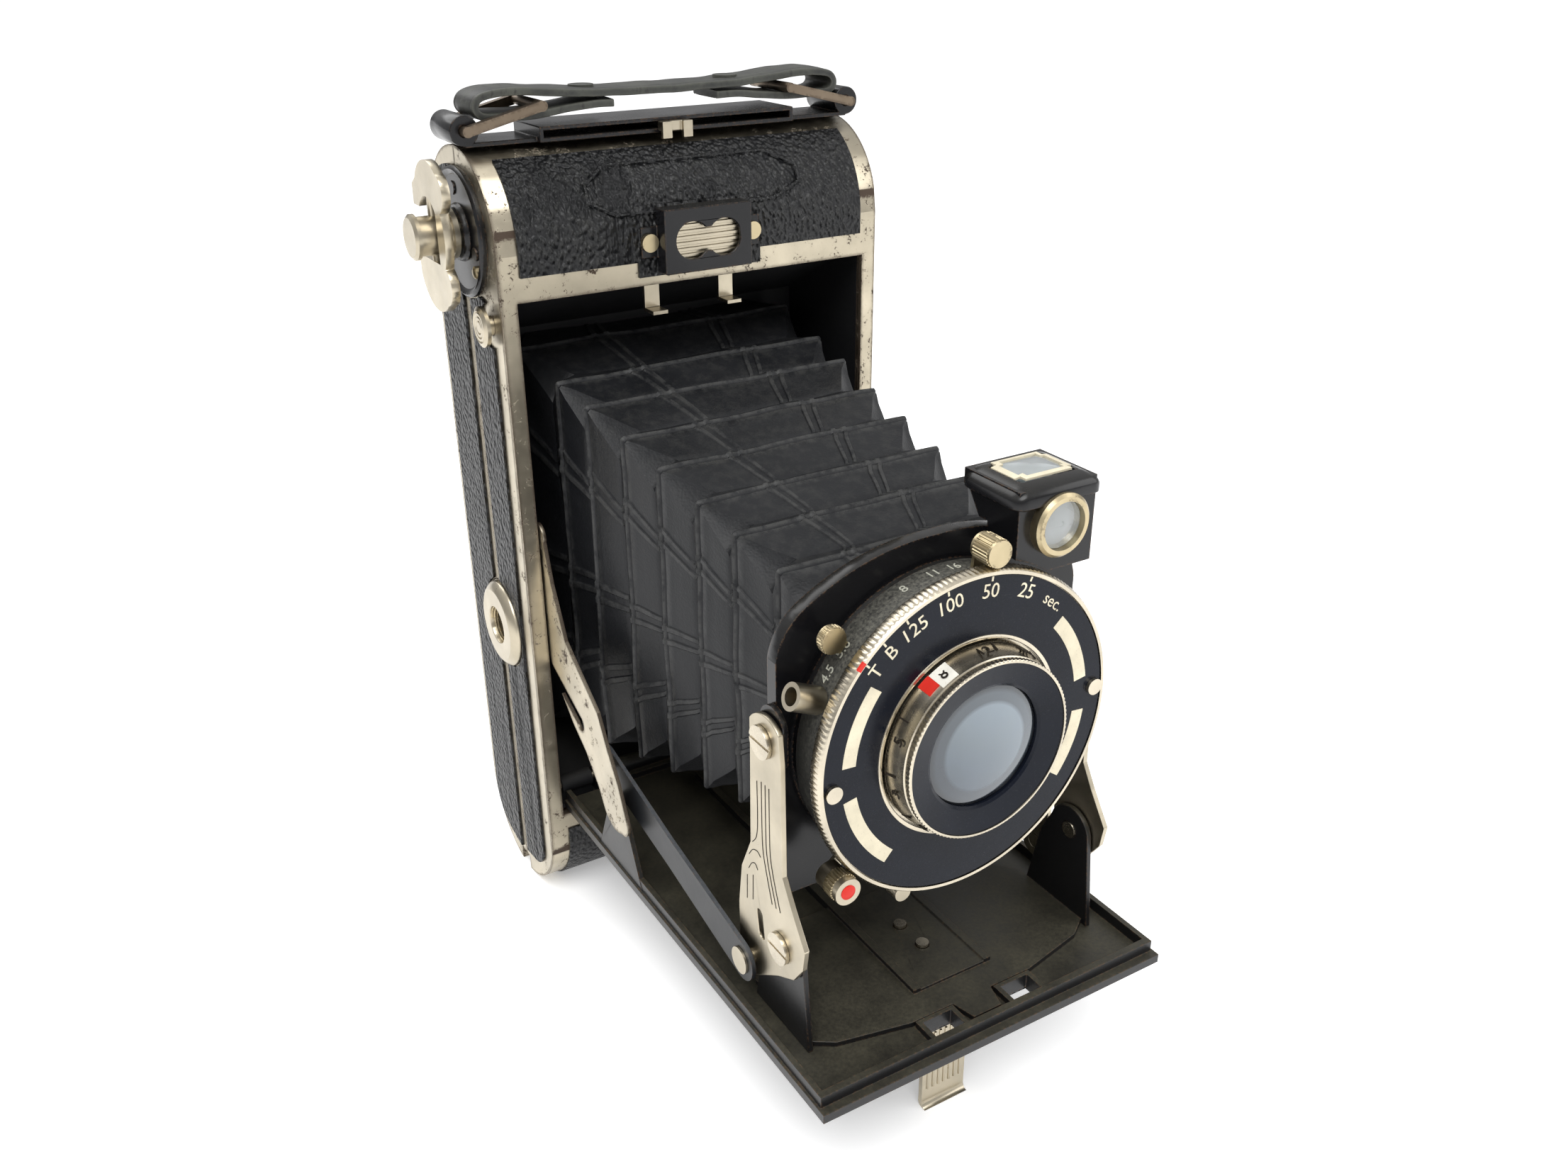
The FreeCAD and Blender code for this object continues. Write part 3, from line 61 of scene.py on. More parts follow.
# ---------------------------------------------------------------- materials
class Shader:
    """A short way to write a procedural material round one Principled shader."""

    def __init__(self, name):
        self.material = bpy.data.materials.new(name)
        self.material.use_nodes = True
        self.tree = self.material.node_tree
        self.surface = self.tree.nodes["Principled BSDF"]

    def put(self, socket, value):
        if isinstance(value, bpy.types.NodeSocket):
            self.tree.links.new(value, socket)
        elif isinstance(value, tuple) and len(value) == 3 and socket.type == "RGBA":
            socket.default_value = (*value, 1.0)
        else:
            socket.default_value = value

    def add(self, kind, inputs=None, **settings):
        node = self.tree.nodes.new("ShaderNode" + kind)
        for key, value in settings.items():
            setattr(node, key, value)
        for key, value in (inputs or {}).items():
            self.put(node.inputs[key], value)
        return node

    def place(self, scale=(1.0, 1.0, 1.0)):
        coords = self.add("TexCoord").outputs["Object"]
        return self.add("Mapping", {"Vector": coords, "Scale": scale}).outputs[0]

    def noise(self, scale, detail=4.0, stretch=(1.0, 1.0, 1.0), rough=0.55):
        return self.add("TexNoise", {"Vector": self.place(stretch), "Scale": scale,
                                     "Detail": detail, "Roughness": rough}).outputs["Fac"]

    def cells(self, scale, stretch=(1.0, 1.0, 1.0), feature="SMOOTH_F1"):
        node = self.add("TexVoronoi", feature=feature)
        self.put(node.inputs["Vector"], self.place(stretch))
        self.put(node.inputs["Scale"], scale)
        return node.outputs["Distance"]

    def math(self, operation, a, b=0.0, clamp=False):
        node = self.add("Math", operation=operation, use_clamp=clamp)
        self.put(node.inputs[0], a)
        self.put(node.inputs[1], b)
        return node.outputs[0]

    def span(self, value, low, high, to_low=0.0, to_high=1.0):
        """Maps low to high onto to_low to to_high, and clamps outside them."""
        node = self.add("MapRange", {"Value": value, "From Min": low, "From Max": high,
                                     "To Min": to_low, "To Max": to_high}, clamp=True)
        return node.outputs["Result"]

    def mix(self, factor, a, b):
        node = self.add("Mix", data_type="RGBA")
        self.put(node.inputs[0], factor)
        self.put(node.inputs[6], a)
        self.put(node.inputs[7], b)
        return node.outputs[2]

    def edges(self, radius):
        """1 along convex and concave edges, 0 on flat faces."""
        soft = self.add("Bevel", {"Radius": radius}, samples=4).outputs[0]
        normal = self.add("NewGeometry").outputs["Normal"]
        dot = self.add("VectorMath", operation="DOT_PRODUCT")
        self.put(dot.inputs[0], soft)
        self.put(dot.inputs[1], normal)
        return self.span(dot.outputs["Value"], 0.995, 0.86)

    def upward(self):
        """1 on faces that look up, 0 on upright faces."""
        normal = self.add("NewGeometry").outputs["Normal"]
        split = self.add("SeparateXYZ", {"Vector": normal})
        return self.span(split.outputs["Z"], 0.15, 0.95)

    def bump(self, height, strength, distance, below=None):
        node = self.add("Bump", {"Strength": strength, "Distance": distance,
                                 "Height": height})
        if below is not None:
            self.put(node.inputs["Normal"], below)
        return node.outputs["Normal"]

    def finish(self, **inputs):
        for key, value in inputs.items():
            self.put(self.surface.inputs[key.replace("_", " ")], value)
        return self.material


def plated(name, base, pits=0.5, rough=0.27, dark=(0.055, 0.035, 0.022), scratch=0.25):
    """Plated metal: cloudy colour, fine scratches and brown pits that gather at edges."""
    s = Shader(name)
    cloud = s.noise(95.0, 5.0)
    speck = s.noise(2100.0, 3.0, rough=0.7)
    patch = s.noise(330.0, 4.0, rough=0.65)
    near = s.math("MULTIPLY", s.edges(0.0011), 0.03 + 0.21 * pits)
    level = s.math("ADD", s.math("MULTIPLY", speck, 0.45), s.math("MULTIPLY", patch, 0.62))
    level = s.math("ADD", s.math("ADD", level, near), s.math("MULTIPLY", cloud, 0.18))
    edge = 0.86 - 0.13 * pits
    pit = s.span(level, edge, edge + 0.055)
    tint = s.mix(s.span(cloud, 0.3, 0.7), base, tuple(0.72 * c for c in base))
    colour = s.mix(pit, tint, dark)
    roughness = s.math("ADD", s.math("MULTIPLY", patch, 0.22), rough - 0.09)
    roughness = s.math("ADD", roughness, s.math("MULTIPLY", pit, 0.4), clamp=True)
    lines = s.noise(700.0, 2.0, (0.35, 6.0, 0.35))
    normal = s.bump(lines, scratch, 0.00004)
    normal = s.bump(s.math("SUBTRACT", 1.0, pit), 0.5, 0.00012, normal)
    return s.finish(Base_Color=colour, Metallic=s.span(pit, 0.0, 1.0, 1.0, 0.25),
                    Roughness=roughness, Normal=normal)


def enamel(name, base, dust=0.0, wear=0.5, rough=0.24, bare=(0.15, 0.085, 0.045),
           powder=(0.135, 0.125, 0.088)):
    """Stove enamel: orange-peel gloss, edges worn to brown metal, dust on upper faces."""
    s = Shader(name)
    cloud = s.noise(120.0, 5.0)
    grit = s.noise(1500.0, 4.0, rough=0.7)
    rub = s.math("ADD", s.math("MULTIPLY", s.edges(0.0006), 0.42),
                 s.math("MULTIPLY", grit, 0.55))
    worn = s.span(rub, 0.80 - 0.16 * wear, 0.88 - 0.16 * wear)
    fall = s.math("MULTIPLY", s.upward(), s.span(cloud, 0.25, 0.75, 0.35, 1.0))
    film = s.math("MULTIPLY", fall, s.span(grit, 0.3, 0.72, 0.45, 1.0))
    film = s.math("MULTIPLY", film, dust)
    colour = s.mix(film, base, powder)
    colour = s.mix(worn, colour, bare)
    roughness = s.math("ADD", s.math("MULTIPLY", cloud, 0.16), rough - 0.05)
    roughness = s.math("ADD", roughness, s.math("MULTIPLY", film, 0.55))
    roughness = s.math("ADD", roughness, s.math("MULTIPLY", worn, 0.25), clamp=True)
    normal = s.bump(s.noise(900.0, 2.0), 0.12, 0.00005)
    normal = s.bump(grit, 0.10 + 0.35 * dust, 0.00004, normal)
    return s.finish(Base_Color=colour, Roughness=roughness, Normal=normal,
                    Metallic=s.math("MULTIPLY", worn, 0.6), Specular_IOR_Level=0.34)


def pebbled(name, base, scale, stretch, depth, streaks=0.0, rough=0.44, light=0.024):
    """Pebble-grained leathercloth, with optional long creases that run up the panel."""
    s = Shader(name)
    warp = s.noise(260.0, 3.0)
    grain = s.cells(scale, stretch)
    fine = s.noise(4200.0, 3.0)
    crease = s.span(s.noise(150.0, 4.0, (1.0, 1.0, 0.10), rough=0.62), 0.56, 0.68)
    bump_in = s.span(grain, 0.05, 0.75, 1.0, 0.0)
    hollow = s.math("MULTIPLY", crease, streaks)
    height = s.math("SUBTRACT", bump_in, hollow)
    colour = s.mix(s.span(height, 0.35, 1.0), base, (light, light, light * 0.96))
    colour = s.mix(s.math("MULTIPLY", s.span(warp, 0.58, 0.78), 0.25), colour,
                   (light * 1.5, light * 1.45, light * 1.3))
    roughness = s.math("ADD", s.math("MULTIPLY", fine, 0.2), rough - 0.1)
    roughness = s.math("ADD", roughness, s.math("MULTIPLY", hollow, 0.12), clamp=True)
    normal = s.bump(height, 0.9, depth)
    normal = s.bump(fine, 0.25, 0.00003, normal)
    return s.finish(Base_Color=colour, Roughness=roughness, Normal=normal,
                    Specular_IOR_Level=0.36)


def bellows_cloth():
    """Thin black leathercloth: fine grain, greyer along the fold crests and pressed lines, partly
    wear and partly a painted sheen where light catches them.
    """
    s = Shader("bellows_cloth")
    rub = s.add("Attribute", attribute_name="fold").outputs["Fac"]
    grain = s.cells(2300.0)
    cloud = s.noise(70.0, 5.0)
    crinkle = s.noise(420.0, 4.0, rough=0.7)
    # Greyer on the fold crests and pressed lines: patchy wear together with painted sheen.
    crest_wear_and_sheen = s.math("MULTIPLY", s.span(rub, 0.2, 1.0), s.span(crinkle, 0.36, 0.56))
    colour = s.mix(s.span(cloud, 0.3, 0.72), (0.0070, 0.0075, 0.0088),
                   (0.0125, 0.0130, 0.0145))
    colour = s.mix(s.math("MULTIPLY", crest_wear_and_sheen, 0.55), colour, (0.060, 0.060, 0.058))
    dusty = s.math("MULTIPLY", s.upward(), s.span(crinkle, 0.45, 0.7, 0.0, 0.14))
    colour = s.mix(dusty, colour, (0.085, 0.083, 0.075))
    roughness = s.math("ADD", s.math("MULTIPLY", cloud, 0.2), 0.34)
    normal = s.bump(grain, 0.32, 0.00009)
    normal = s.bump(crinkle, 0.30, 0.00022, normal)
    return s.finish(Base_Color=colour, Roughness=roughness, Normal=normal,
                    Specular_IOR_Level=0.24)


def strap_leather():
    """Old grey-green leather with open cracks, paler along its edges."""
    s = Shader("strap_leather")
    blotch = s.noise(150.0, 6.0, rough=0.65)
    pores = s.cells(1500.0)
    crease = s.noise(420.0, 4.0, (3.2, 0.4, 1.0), rough=0.6)
    crack = s.span(crease, 0.56, 0.64)
    colour = s.mix(s.span(blotch, 0.32, 0.68), (0.015, 0.016, 0.015), (0.055, 0.057, 0.047))
    colour = s.mix(s.math("MULTIPLY", crack, 0.7), colour, (0.014, 0.013, 0.012))
    colour = s.mix(s.math("MULTIPLY", s.edges(0.0008), 0.55), colour, (0.110, 0.112, 0.090))
    normal = s.bump(crack, -0.5, 0.00018)
    normal = s.bump(pores, 0.35, 0.00010, normal)
    return s.finish(Base_Color=colour, Normal=normal, Specular_IOR_Level=0.38,
                    Roughness=s.span(blotch, 0.2, 0.8, 0.42, 0.62))


def lacquer(name, base, rough=0.3, speck=(0.3, 0.3, 0.28), amount=0.10, coat=0.4):
    """Thin lacquer or paint with a faint cloud, dust specks and a coat."""
    s = Shader(name)
    cloud = s.noise(180.0, 5.0)
    grit = s.span(s.noise(2600.0, 3.0, rough=0.7), 0.60, 0.70)
    tint = s.mix(s.span(cloud, 0.3, 0.7), base, tuple(0.75 * c for c in base))
    colour = s.mix(s.math("MULTIPLY", grit, amount), tint, speck)
    roughness = s.span(cloud, 0.3, 0.7, rough - 0.06, rough + 0.08)
    return s.finish(Base_Color=colour, Roughness=roughness, Coat_Weight=coat,
                    Coat_Roughness=0.12, Specular_IOR_Level=0.15, Coat_IOR=1.3,
                    Normal=s.bump(cloud, 0.15, 0.00008))


def dusty_band():
    """Crackle-black shutter housing, grey with settled dust."""
    s = Shader("shutter_black")
    crackle = s.cells(1700.0)
    grit = s.noise(1900.0, 5.0, rough=0.72)
    cloud = s.noise(160.0, 4.0)
    level = s.math("MULTIPLY", s.span(grit, 0.36, 0.66), s.span(cloud, 0.2, 0.7, 0.45, 1.0))
    level = s.math("MULTIPLY", level, s.math("ADD", s.math("MULTIPLY", s.upward(), 0.6), 0.4))
    colour = s.mix(level, (0.022, 0.022, 0.021), (0.155, 0.150, 0.125))
    normal = s.bump(crackle, 0.5, 0.00012)
    return s.finish(Base_Color=colour, Roughness=s.span(level, 0.0, 1.0, 0.45, 0.8),
                    Normal=normal, Specular_IOR_Level=0.3)


def glass(name, tint, body, smudge=0.02):
    """Glass with a faint smeared film; body is the share of light that it doesn't let through."""
    s = Shader(name)
    film = s.noise(220.0, 4.0)
    rough = s.span(film, 0.45, 0.80, 0.005, smudge)
    return s.finish(Base_Color=s.mix(s.span(film, 0.3, 0.7), tint,
                                     tuple(0.93 * c for c in tint)),
                    Transmission_Weight=1.0 - body, Roughness=rough, IOR=1.55,
                    Coat_Weight=0.45, Coat_IOR=1.6, Coat_Roughness=0.02,
                    Coat_Tint=(0.93, 0.97, 1.0))


def lens_face():
    """Coated front glass with its light painted in: a painted sky reflection, pale grey blue
    across the middle, and painted shade that darkens it towards its rim.
    """
    s = Shader("lens_glass_painted_reflection")
    coords = s.add("TexCoord").outputs["Object"]
    split = s.add("SeparateXYZ", {"Vector": coords})
    across = s.math("MULTIPLY", split.outputs["X"], split.outputs["X"])
    upward = s.math("MULTIPLY", split.outputs["Z"], split.outputs["Z"])
    radius = s.math("SQRT", s.math("ADD", across, upward))
    # Painted reflection: a dark to pale grey-blue sky gradient across the glass.
    slope = s.math("ADD", s.math("MULTIPLY", split.outputs["X"], 0.6), split.outputs["Z"])
    sky = s.span(slope, -0.009, 0.010)
    film = s.span(s.noise(140.0, 3.0), 0.3, 0.7)
    painted_reflection = s.mix(sky, (0.045, 0.055, 0.062), (0.205, 0.235, 0.250))
    painted_reflection = s.mix(s.math("MULTIPLY", film, 0.22), painted_reflection, (0.12, 0.15, 0.20))
    # Painted shade: the glass goes dark towards its rim.
    inner = s.span(radius, 0.0076, 0.0083)
    outer = s.span(radius, 0.0096, 0.0106)
    colour = s.mix(s.math("MULTIPLY", inner, 0.72), painted_reflection, (0.012, 0.014, 0.018))
    colour = s.mix(outer, colour, (0.004, 0.004, 0.005))
    return s.finish(Base_Color=colour, Roughness=s.span(film, 0.0, 1.0, 0.03, 0.07),
                    Coat_Weight=1.0, Coat_Roughness=0.02, Coat_IOR=1.5,
                    Coat_Tint=(0.90, 0.95, 1.0))


NICKEL = (0.55, 0.49, 0.375)
BRIGHT = (0.64, 0.575, 0.455)

MATERIALS = {
    "nickel": plated("worn_nickel", NICKEL, 1.2, 0.30),
    "nickel_plain": plated("sound_nickel", NICKEL, 0.12, 0.30),
    "bright": plated("bright_nickel", BRIGHT, 0.0, 0.25),
    "brass": plated("tarnished_brass", (0.55, 0.46, 0.29), 0.45, 0.32),
    "bronze": plated("bronze_wire", (0.21, 0.165, 0.12), 0.75, 0.40),
    "enamel": enamel("black_enamel", (0.0055, 0.0055, 0.0065), 0.12, 0.75, 0.20),
    "tray": enamel("dusty_enamel", (0.0075, 0.0075, 0.0080), 0.55, 0.75, 0.30,
                   powder=(0.105, 0.095, 0.060)),
    "links": enamel("link_enamel", (0.014, 0.015, 0.017), 0.75, 0.60, 0.36,
                    powder=(0.150, 0.160, 0.175)),
    "paint": enamel("matt_black", (0.006, 0.006, 0.007), 0.10, 0.10, 0.62),
    "leather": pebbled("case_leather", (0.0040, 0.0042, 0.0050), 1300.0, (1.0, 1.0, 0.72),
                       0.00095, 1.1),
    "back_leather": pebbled("back_leather", (0.0040, 0.0042, 0.0050), 1300.0,
                            (1.0, 1.0, 0.8), 0.00085, 0.6),
    "bellows": bellows_cloth(),
    "strap": strap_leather(),
    "band": dusty_band(),
    "dial": lacquer("dial_lacquer", (0.0050, 0.0068, 0.0125), 0.20, (0.2, 0.2, 0.2), 0.05, 0.05),
    "cream": lacquer("cream_figures", (0.76, 0.69, 0.52), 0.42, (0.18, 0.13, 0.08), 0.30, 0.1),
    "faint": lacquer("faint_figures", (0.50, 0.50, 0.42), 0.6, (0.1, 0.1, 0.09), 0.5, 0.0),
    "white": lacquer("white_enamel", (0.80, 0.78, 0.70), 0.35, (0.3, 0.2, 0.12), 0.25),
    "red": lacquer("red_enamel", (0.62, 0.022, 0.012), 0.32, (0.2, 0.05, 0.03), 0.25),
    "ink": lacquer("engraved_ink", (0.020, 0.016, 0.012), 0.55, (0.1, 0.08, 0.06), 0.2, 0.0),
    "wood": lacquer("spool_wood", (0.28, 0.17, 0.09), 0.5, (0.1, 0.06, 0.03), 0.4, 0.1),
    "lens": lens_face(),
    "finder_glass": glass("finder_glass", (0.86, 0.88, 0.86), 0.25, 0.10),
    "ruby": glass("ruby_glass", (0.42, 0.010, 0.008), 0.3),
}

# Which CAD nodes wear each material.
FINISH = {
    "nickel": ("main_case", "back_cover", "front_frame", "braces", "back_hinge_pin",
               "bed_hinge_pin", "window_cover"),
    "nickel_plain": ("wind_key", "wind_shaft", "struts", "bed_leg", "bed_hooks",
                     "back_latch", "release_lever", "cable_socket", "self_timer_lever",
                     "link_rivets", "release_button", "side_button", "tripod_socket"),
    "bright": ("strut_screws", "carriage_screws", "dial_screws", "film_guides"),
    "brass": ("release_screws", "aperture_lever", "cocking_lever", "finder_ring"),
    "bronze": ("strap_loop_left", "strap_loop_right"),
    "enamel": ("wind_plate", "release_housing", "window_frame", "handle_plate",
               "finder_body", "lens_board"),
    "tray": ("bed", "carriage_plate"),
    "links": ("links",),
    "paint": ("film_gate", "pressure_plate", "rear_cell", "shutter_blades"),
    "leather": ("front_leather", "bed_leather"),
    "back_leather": ("back_leather",),
    "band": ("shutter_case",),
    "dial": ("dial_plate", "lens_ring"),
    "wood": ("take_up_spool", "supply_spool"),
    "lens": ("front_lens",),
    "finder_glass": ("finder_optics",),
    "ruby": ("red_window",),
    "strap": ("handle_rivets",),
}
# Edge radius of each softened node, in millimetres.
ROUNDED = {"main_case": 0.35, "back_cover": 0.35, "front_frame": 0.2, "bed": 0.25,
           "carriage_plate": 0.15, "struts": 0.18, "links": 0.18, "braces": 0.15,
           "wind_key": 0.35, "handle_plate": 0.3, "lens_board": 0.3, "release_housing": 0.2,
           "finder_body": 0.3, "bed_leg": 0.12, "bed_hooks": 0.12, "back_latch": 0.15,
           "front_leather": 0.12, "back_leather": 0.12, "release_button": 0.08,
           "wind_plate": 0.15, "tripod_socket": 0.2, "shutter_case": 0.15,
           "strut_screws": 0.12, "window_frame": 0.12}


WELD_GAP = 2e-6
SHARP_EDGE = math.radians(38)
SMOOTH_BELOW = math.radians(34)


def soften(obj, width):
    """Rounds a CAD node's sharp edges with modifiers, which leave its mesh alone."""
    weld = obj.modifiers.new("weld", "WELD")
    weld.merge_threshold = WELD_GAP
    bevel = obj.modifiers.new("bevel", "BEVEL")
    bevel.width = width * MM
    bevel.segments = 2
    bevel.limit_method = "ANGLE"
    bevel.angle_limit = SHARP_EDGE
    bevel.harden_normals = True


def dress_nodes():
    """Gives every CAD node that is kept its material, and softens the edges of the nodes in
    ROUNDED.
    """
    for finish, names in FINISH.items():
        for name in names:
            obj = NODES[name]
            obj.data.materials.clear()
            obj.data.materials.append(MATERIALS[finish])
    for name, width in ROUNDED.items():
        soften(NODES[name], width)


# ---------------------------------------------------------------- mesh helpers
def piece(name, points, faces, body, finish, slot, smooth=True):
    """A new mesh piece, from points in millimetres in the CAD frame."""
    mesh = bpy.data.meshes.new(name)
    mesh.from_pydata([Vector(p) * MM for p in points], [], faces)
    mesh.validate()
    obj = bpy.data.objects.new(name, mesh)
    bpy.context.scene.collection.objects.link(obj)
    mesh.materials.append(MATERIALS[finish])
    if smooth:
        mesh.shade_smooth()
        mesh.set_sharp_from_angle(angle=SMOOTH_BELOW)
    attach(obj, body)
    return obj


def skin(rings, cap=True):
    """Faces between rings of equal length; cap closes the first and the last ring."""
    count = len(rings[0])
    points = [p for ring in rings for p in ring]
    faces = []
    for r in range(len(rings) - 1):
        for i in range(count):
            j = (i + 1) % count
            faces.append((r * count + i, r * count + j, (r + 1) * count + j,
                          (r + 1) * count + i))
    if cap:
        last = (len(rings) - 1) * count
        faces.append(tuple(reversed(range(count))))
        faces.append(tuple(range(last, last + count)))
    return points, faces


def hoop(rings):
    """Faces between rings that run round in a loop, the last joined to the first."""
    points, faces = skin(rings + [rings[0]], cap=False)
    keep = len(points) - len(rings[0])
    return points[:keep], [tuple(i % keep for i in f) for f in faces]


def merge(parts):
    """Several meshes, each points and faces, as one."""
    points, faces = [], []
    for part_points, part_faces in parts:
        base = len(points)
        points += part_points
        faces += [tuple(base + i for i in f) for f in part_faces]
    return points, faces


def polar(radius, degrees, y):
    """A point round the lens axis, from +X towards +Z."""
    angle = math.radians(degrees)
    return (radius * math.cos(angle), y, radius * math.sin(angle))


def circle(x, y, z, radius, count):
    """Ring of points that faces along the lens axis."""
    return [(x + radius * math.cos(a), y, z + radius * math.sin(a))
            for a in (math.tau * k / count for k in range(count))]


def lathe(profile, count, shape=None):
    """Closed ring round the lens axis from a closed (y, radius) outline."""
    rings = []
    for k in range(count):
        turn = 360.0 * k / count
        rings.append([polar(r + (shape(i, k) if shape else 0.0), turn, y)
                      for i, (y, r) in enumerate(profile)])
    return hoop(rings)


def sector(inner, outer, start, end, y_front, y_back, steps=18):
    """Flat ring segment on the dial."""
    rings = []
    for k in range(steps + 1):
        turn = start + (end - start) * k / steps
        rings.append([polar(inner, turn, y_front), polar(outer, turn, y_front),
                      polar(outer, turn, y_back), polar(inner, turn, y_back)])
    return skin(rings)


def wire(path, radius, count, closed=False):
    """Round wire along a path."""
    rings = []
    size = len(path)
    side = None
    for i, here in enumerate(path):
        ahead = Vector(path[(i + 1) % size] if closed else path[min(i + 1, size - 1)])
        back = Vector(path[(i - 1) % size] if closed else path[max(i - 1, 0)])
        along = (ahead - back).normalized()
        if side is None:
            side = along.orthogonal().normalized()
        side = (side - along * side.dot(along)).normalized()
        other = along.cross(side)
        rings.append([Vector(here) + side * radius * math.cos(a) + other * radius * math.sin(a)
                      for a in (math.tau * k / count for k in range(count))])
    return hoop(rings) if closed else skin(rings)


def lettering(text, size, origin, right, up, thick=0.05):
    """Points and faces, in millimetres, of a short text lying in the plane right, up."""
    curve = bpy.data.curves.new("figure", "FONT")
    curve.body = text
    curve.size = size
    curve.align_x = "CENTER"
    curve.align_y = "CENTER"
    curve.extrude = thick / 2
    curve.resolution_u = 3
    holder = bpy.data.objects.new("figure", curve)
    bpy.context.scene.collection.objects.link(holder)
    bpy.context.view_layer.update()
    graph = bpy.context.evaluated_depsgraph_get()
    mesh = bpy.data.meshes.new_from_object(holder.evaluated_get(graph))
    right, up = Vector(right).normalized(), Vector(up).normalized()
    turn = Matrix((right, up, right.cross(up))).transposed()
    points = [Vector(origin) + turn @ v.co for v in mesh.vertices]
    faces = [tuple(p.vertices) for p in mesh.polygons]
    bpy.data.objects.remove(holder)
    bpy.data.curves.remove(curve)
    bpy.data.meshes.remove(mesh)
    return points, faces


def dial_text(text, size, radius, degrees, y, thick=0.05):
    """Text that stands on the flat dial with its foot towards the centre."""
    return lettering(text, size, polar(radius, degrees, y), polar(1, degrees - 90, 0),
                     polar(1, degrees, 0), thick)


def rim_text(text, size, radius, degrees, y, thick=0.08):
    """Text on a round band, with its foot towards the front of the camera."""
    out = Vector(polar(1, degrees, 0))
    return lettering(text, size, polar(radius, degrees, y), Vector((0, 1, 0)).cross(out),
                     (0, 1, 0), thick)


# ---------------------------------------------------------------- bellows
FOLDS = (114.0, 98.0, 87.0, 74.0, 62.0, 50.0, 39.0, 27.0)
REAR, FRONT, MIDDLE = 122.7, 18.9, 65.4
VALLEY_SHARE = 0.72


def bellows_size(y):
    """Half width, top and bottom of the bellows at one depth."""
    t = (y - FRONT) / (REAR - FRONT)
    return 22.6 + 9.6 * t, 25.4 + 19.3 * t, -18.8 - 25.4 * t


def emboss(share, places):
    """1 on the pressed double lines that cross a panel, 0 between them."""
    return 1.0 if any(abs(share - p) < 0.008 for p in places) else 0.0


def shares(count, places):
    """Places of the points along one panel, closer together round its pressed lines."""
    even = [k / count for k in range(count)]
    close = [p + d for p in places for d in (-0.0125, -0.0075, 0.0075, 0.0125)]
    return sorted([e for e in even if all(abs(e - p) > 0.016 for p in places)] + close)


def bellows_ring(y, depth, bead, inset):
    """Outline at one depth, and which points lie on a pressed line, to be painted greyer there as
    wear and painted sheen.
    """
    half, top, bottom = bellows_size(y)
    half -= 1.2 * depth + inset
    top -= 1.2 * depth + inset
    bottom += 1.2 * depth + inset
    corner = 0.35 + 4.6 * depth
    top_lines = (0.265, 0.31, 0.69, 0.735)
    side_lines = (0.20, 0.245, 0.46, 0.505, 0.78, 0.825)
    spans = (
        ((-half + corner, top), (half - corner, top), 24, top_lines),
        ((half - corner, top), (half, top - corner), 3, ()),
        ((half, top - corner), (half, bottom + corner), 24, side_lines),
        ((half, bottom + corner), (half - corner, bottom), 3, ()),
        ((half - corner, bottom), (-half + corner, bottom), 20, ()),
        ((-half + corner, bottom), (-half, bottom + corner), 3, ()),
        ((-half, bottom + corner), (-half, top - corner), 24, side_lines),
        ((-half, top - corner), (-half + corner, top), 3, ()),
    )
    ring, line_wear_and_sheen = [], []
    for (ax, az), (bx, bz), count, lines in spans:
        flat = Vector((bx - ax, 0, bz - az)).normalized()
        out = Vector((-flat.z, 0, flat.x))
        for t in shares(count, lines):
            mark = emboss(t, lines) if inset == 0 else 0.0
            here = Vector((ax + (bx - ax) * t, y, az + (bz - az) * t))
            wave = noise.noise(Vector((here.x, y * 1.3, here.z)) * 0.08)
            sag = 0.35 * math.sin(math.pi * t) * depth
            ring.append(here + out * (bead + 0.26 * mark + 0.45 * wave - sag))
            line_wear_and_sheen.append(mark)
    return ring, line_wear_and_sheen


def bellows_rows():
    """(y, depth, bead) from the rear frame to the lens board."""
    rows = [(REAR, 1.0, 0.0), (REAR - 2.0, 0.8, 0.0)]
    ends = FOLDS[1:] + (FRONT - 2.0,)
    for here, following in zip(FOLDS, ends):
        gap = here - following
        rows += [(here + 0.7, 0.10, 0.0), (here + 0.34, 0.02, 0.2), (here, 0.0, 0.34),
                 (here - 0.34, 0.0, 0.2), (here - 0.65, 0.02, -0.12), (here - 1.0, 0.03, 0.0)]
        if following < FRONT:
            rows += [(here - 3.0, 0.4, 0.0), (here - 5.6, 0.8, 0.0), (FRONT, 0.9, 0.0)]
            break
        for share in (0.2, 0.36, 0.5, 0.62, 0.69):
            rows.append((here - gap * share, 0.06 + 0.9 * (share / VALLEY_SHARE) ** 1.1, 0.0))
        rows.append((here - gap * VALLEY_SHARE, 1.0, -0.1))
        rows.append((here - gap * 0.86, 0.55, 0.0))
    return rows


def bellows_half(name, rows, body):
    """One hollow half that rides on its body."""
    made = [bellows_ring(y, d, b, 0.0) for y, d, b in rows]
    outer = [ring for ring, _ in made]
    inner = [bellows_ring(y, d, 0.0, 0.45)[0] for y, d, b in rows]
    points, faces = hoop(outer + inner[::-1])
    obj = piece(name, points, faces, body, "bellows", "bellows_cloth")
    # The fold attribute is 1 on fold crests and pressed lines; the cloth turns greyer there,
    # partly wear and partly painted sheen.
    rub = obj.data.attributes.new("fold", "FLOAT", "POINT")
    values = [max(1.0 - 6.0 * depth if bead >= 0 else 0.0, 0.8 * mark)
              for (_, depth, bead), (_, line_wear_and_sheen) in zip(rows, made) for mark in line_wear_and_sheen]
    rub.data.foreach_set("value", values + [0.0] * (len(points) - len(values)))
    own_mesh(obj)
    return obj


def bellows():
    """Two halves, one on the case and one on the lens board, that meet at a fold."""
    rows = bellows_rows()
    rear = [r for r in rows if r[0] >= MIDDLE - 0.2]
    front = [rear[-1]] + [r for r in rows if r[0] < MIDDLE - 0.2]
    first = bellows_half("bellows_rear", rear, "case")
    bellows_half("bellows_front", front, "standard")
    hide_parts("bellows")


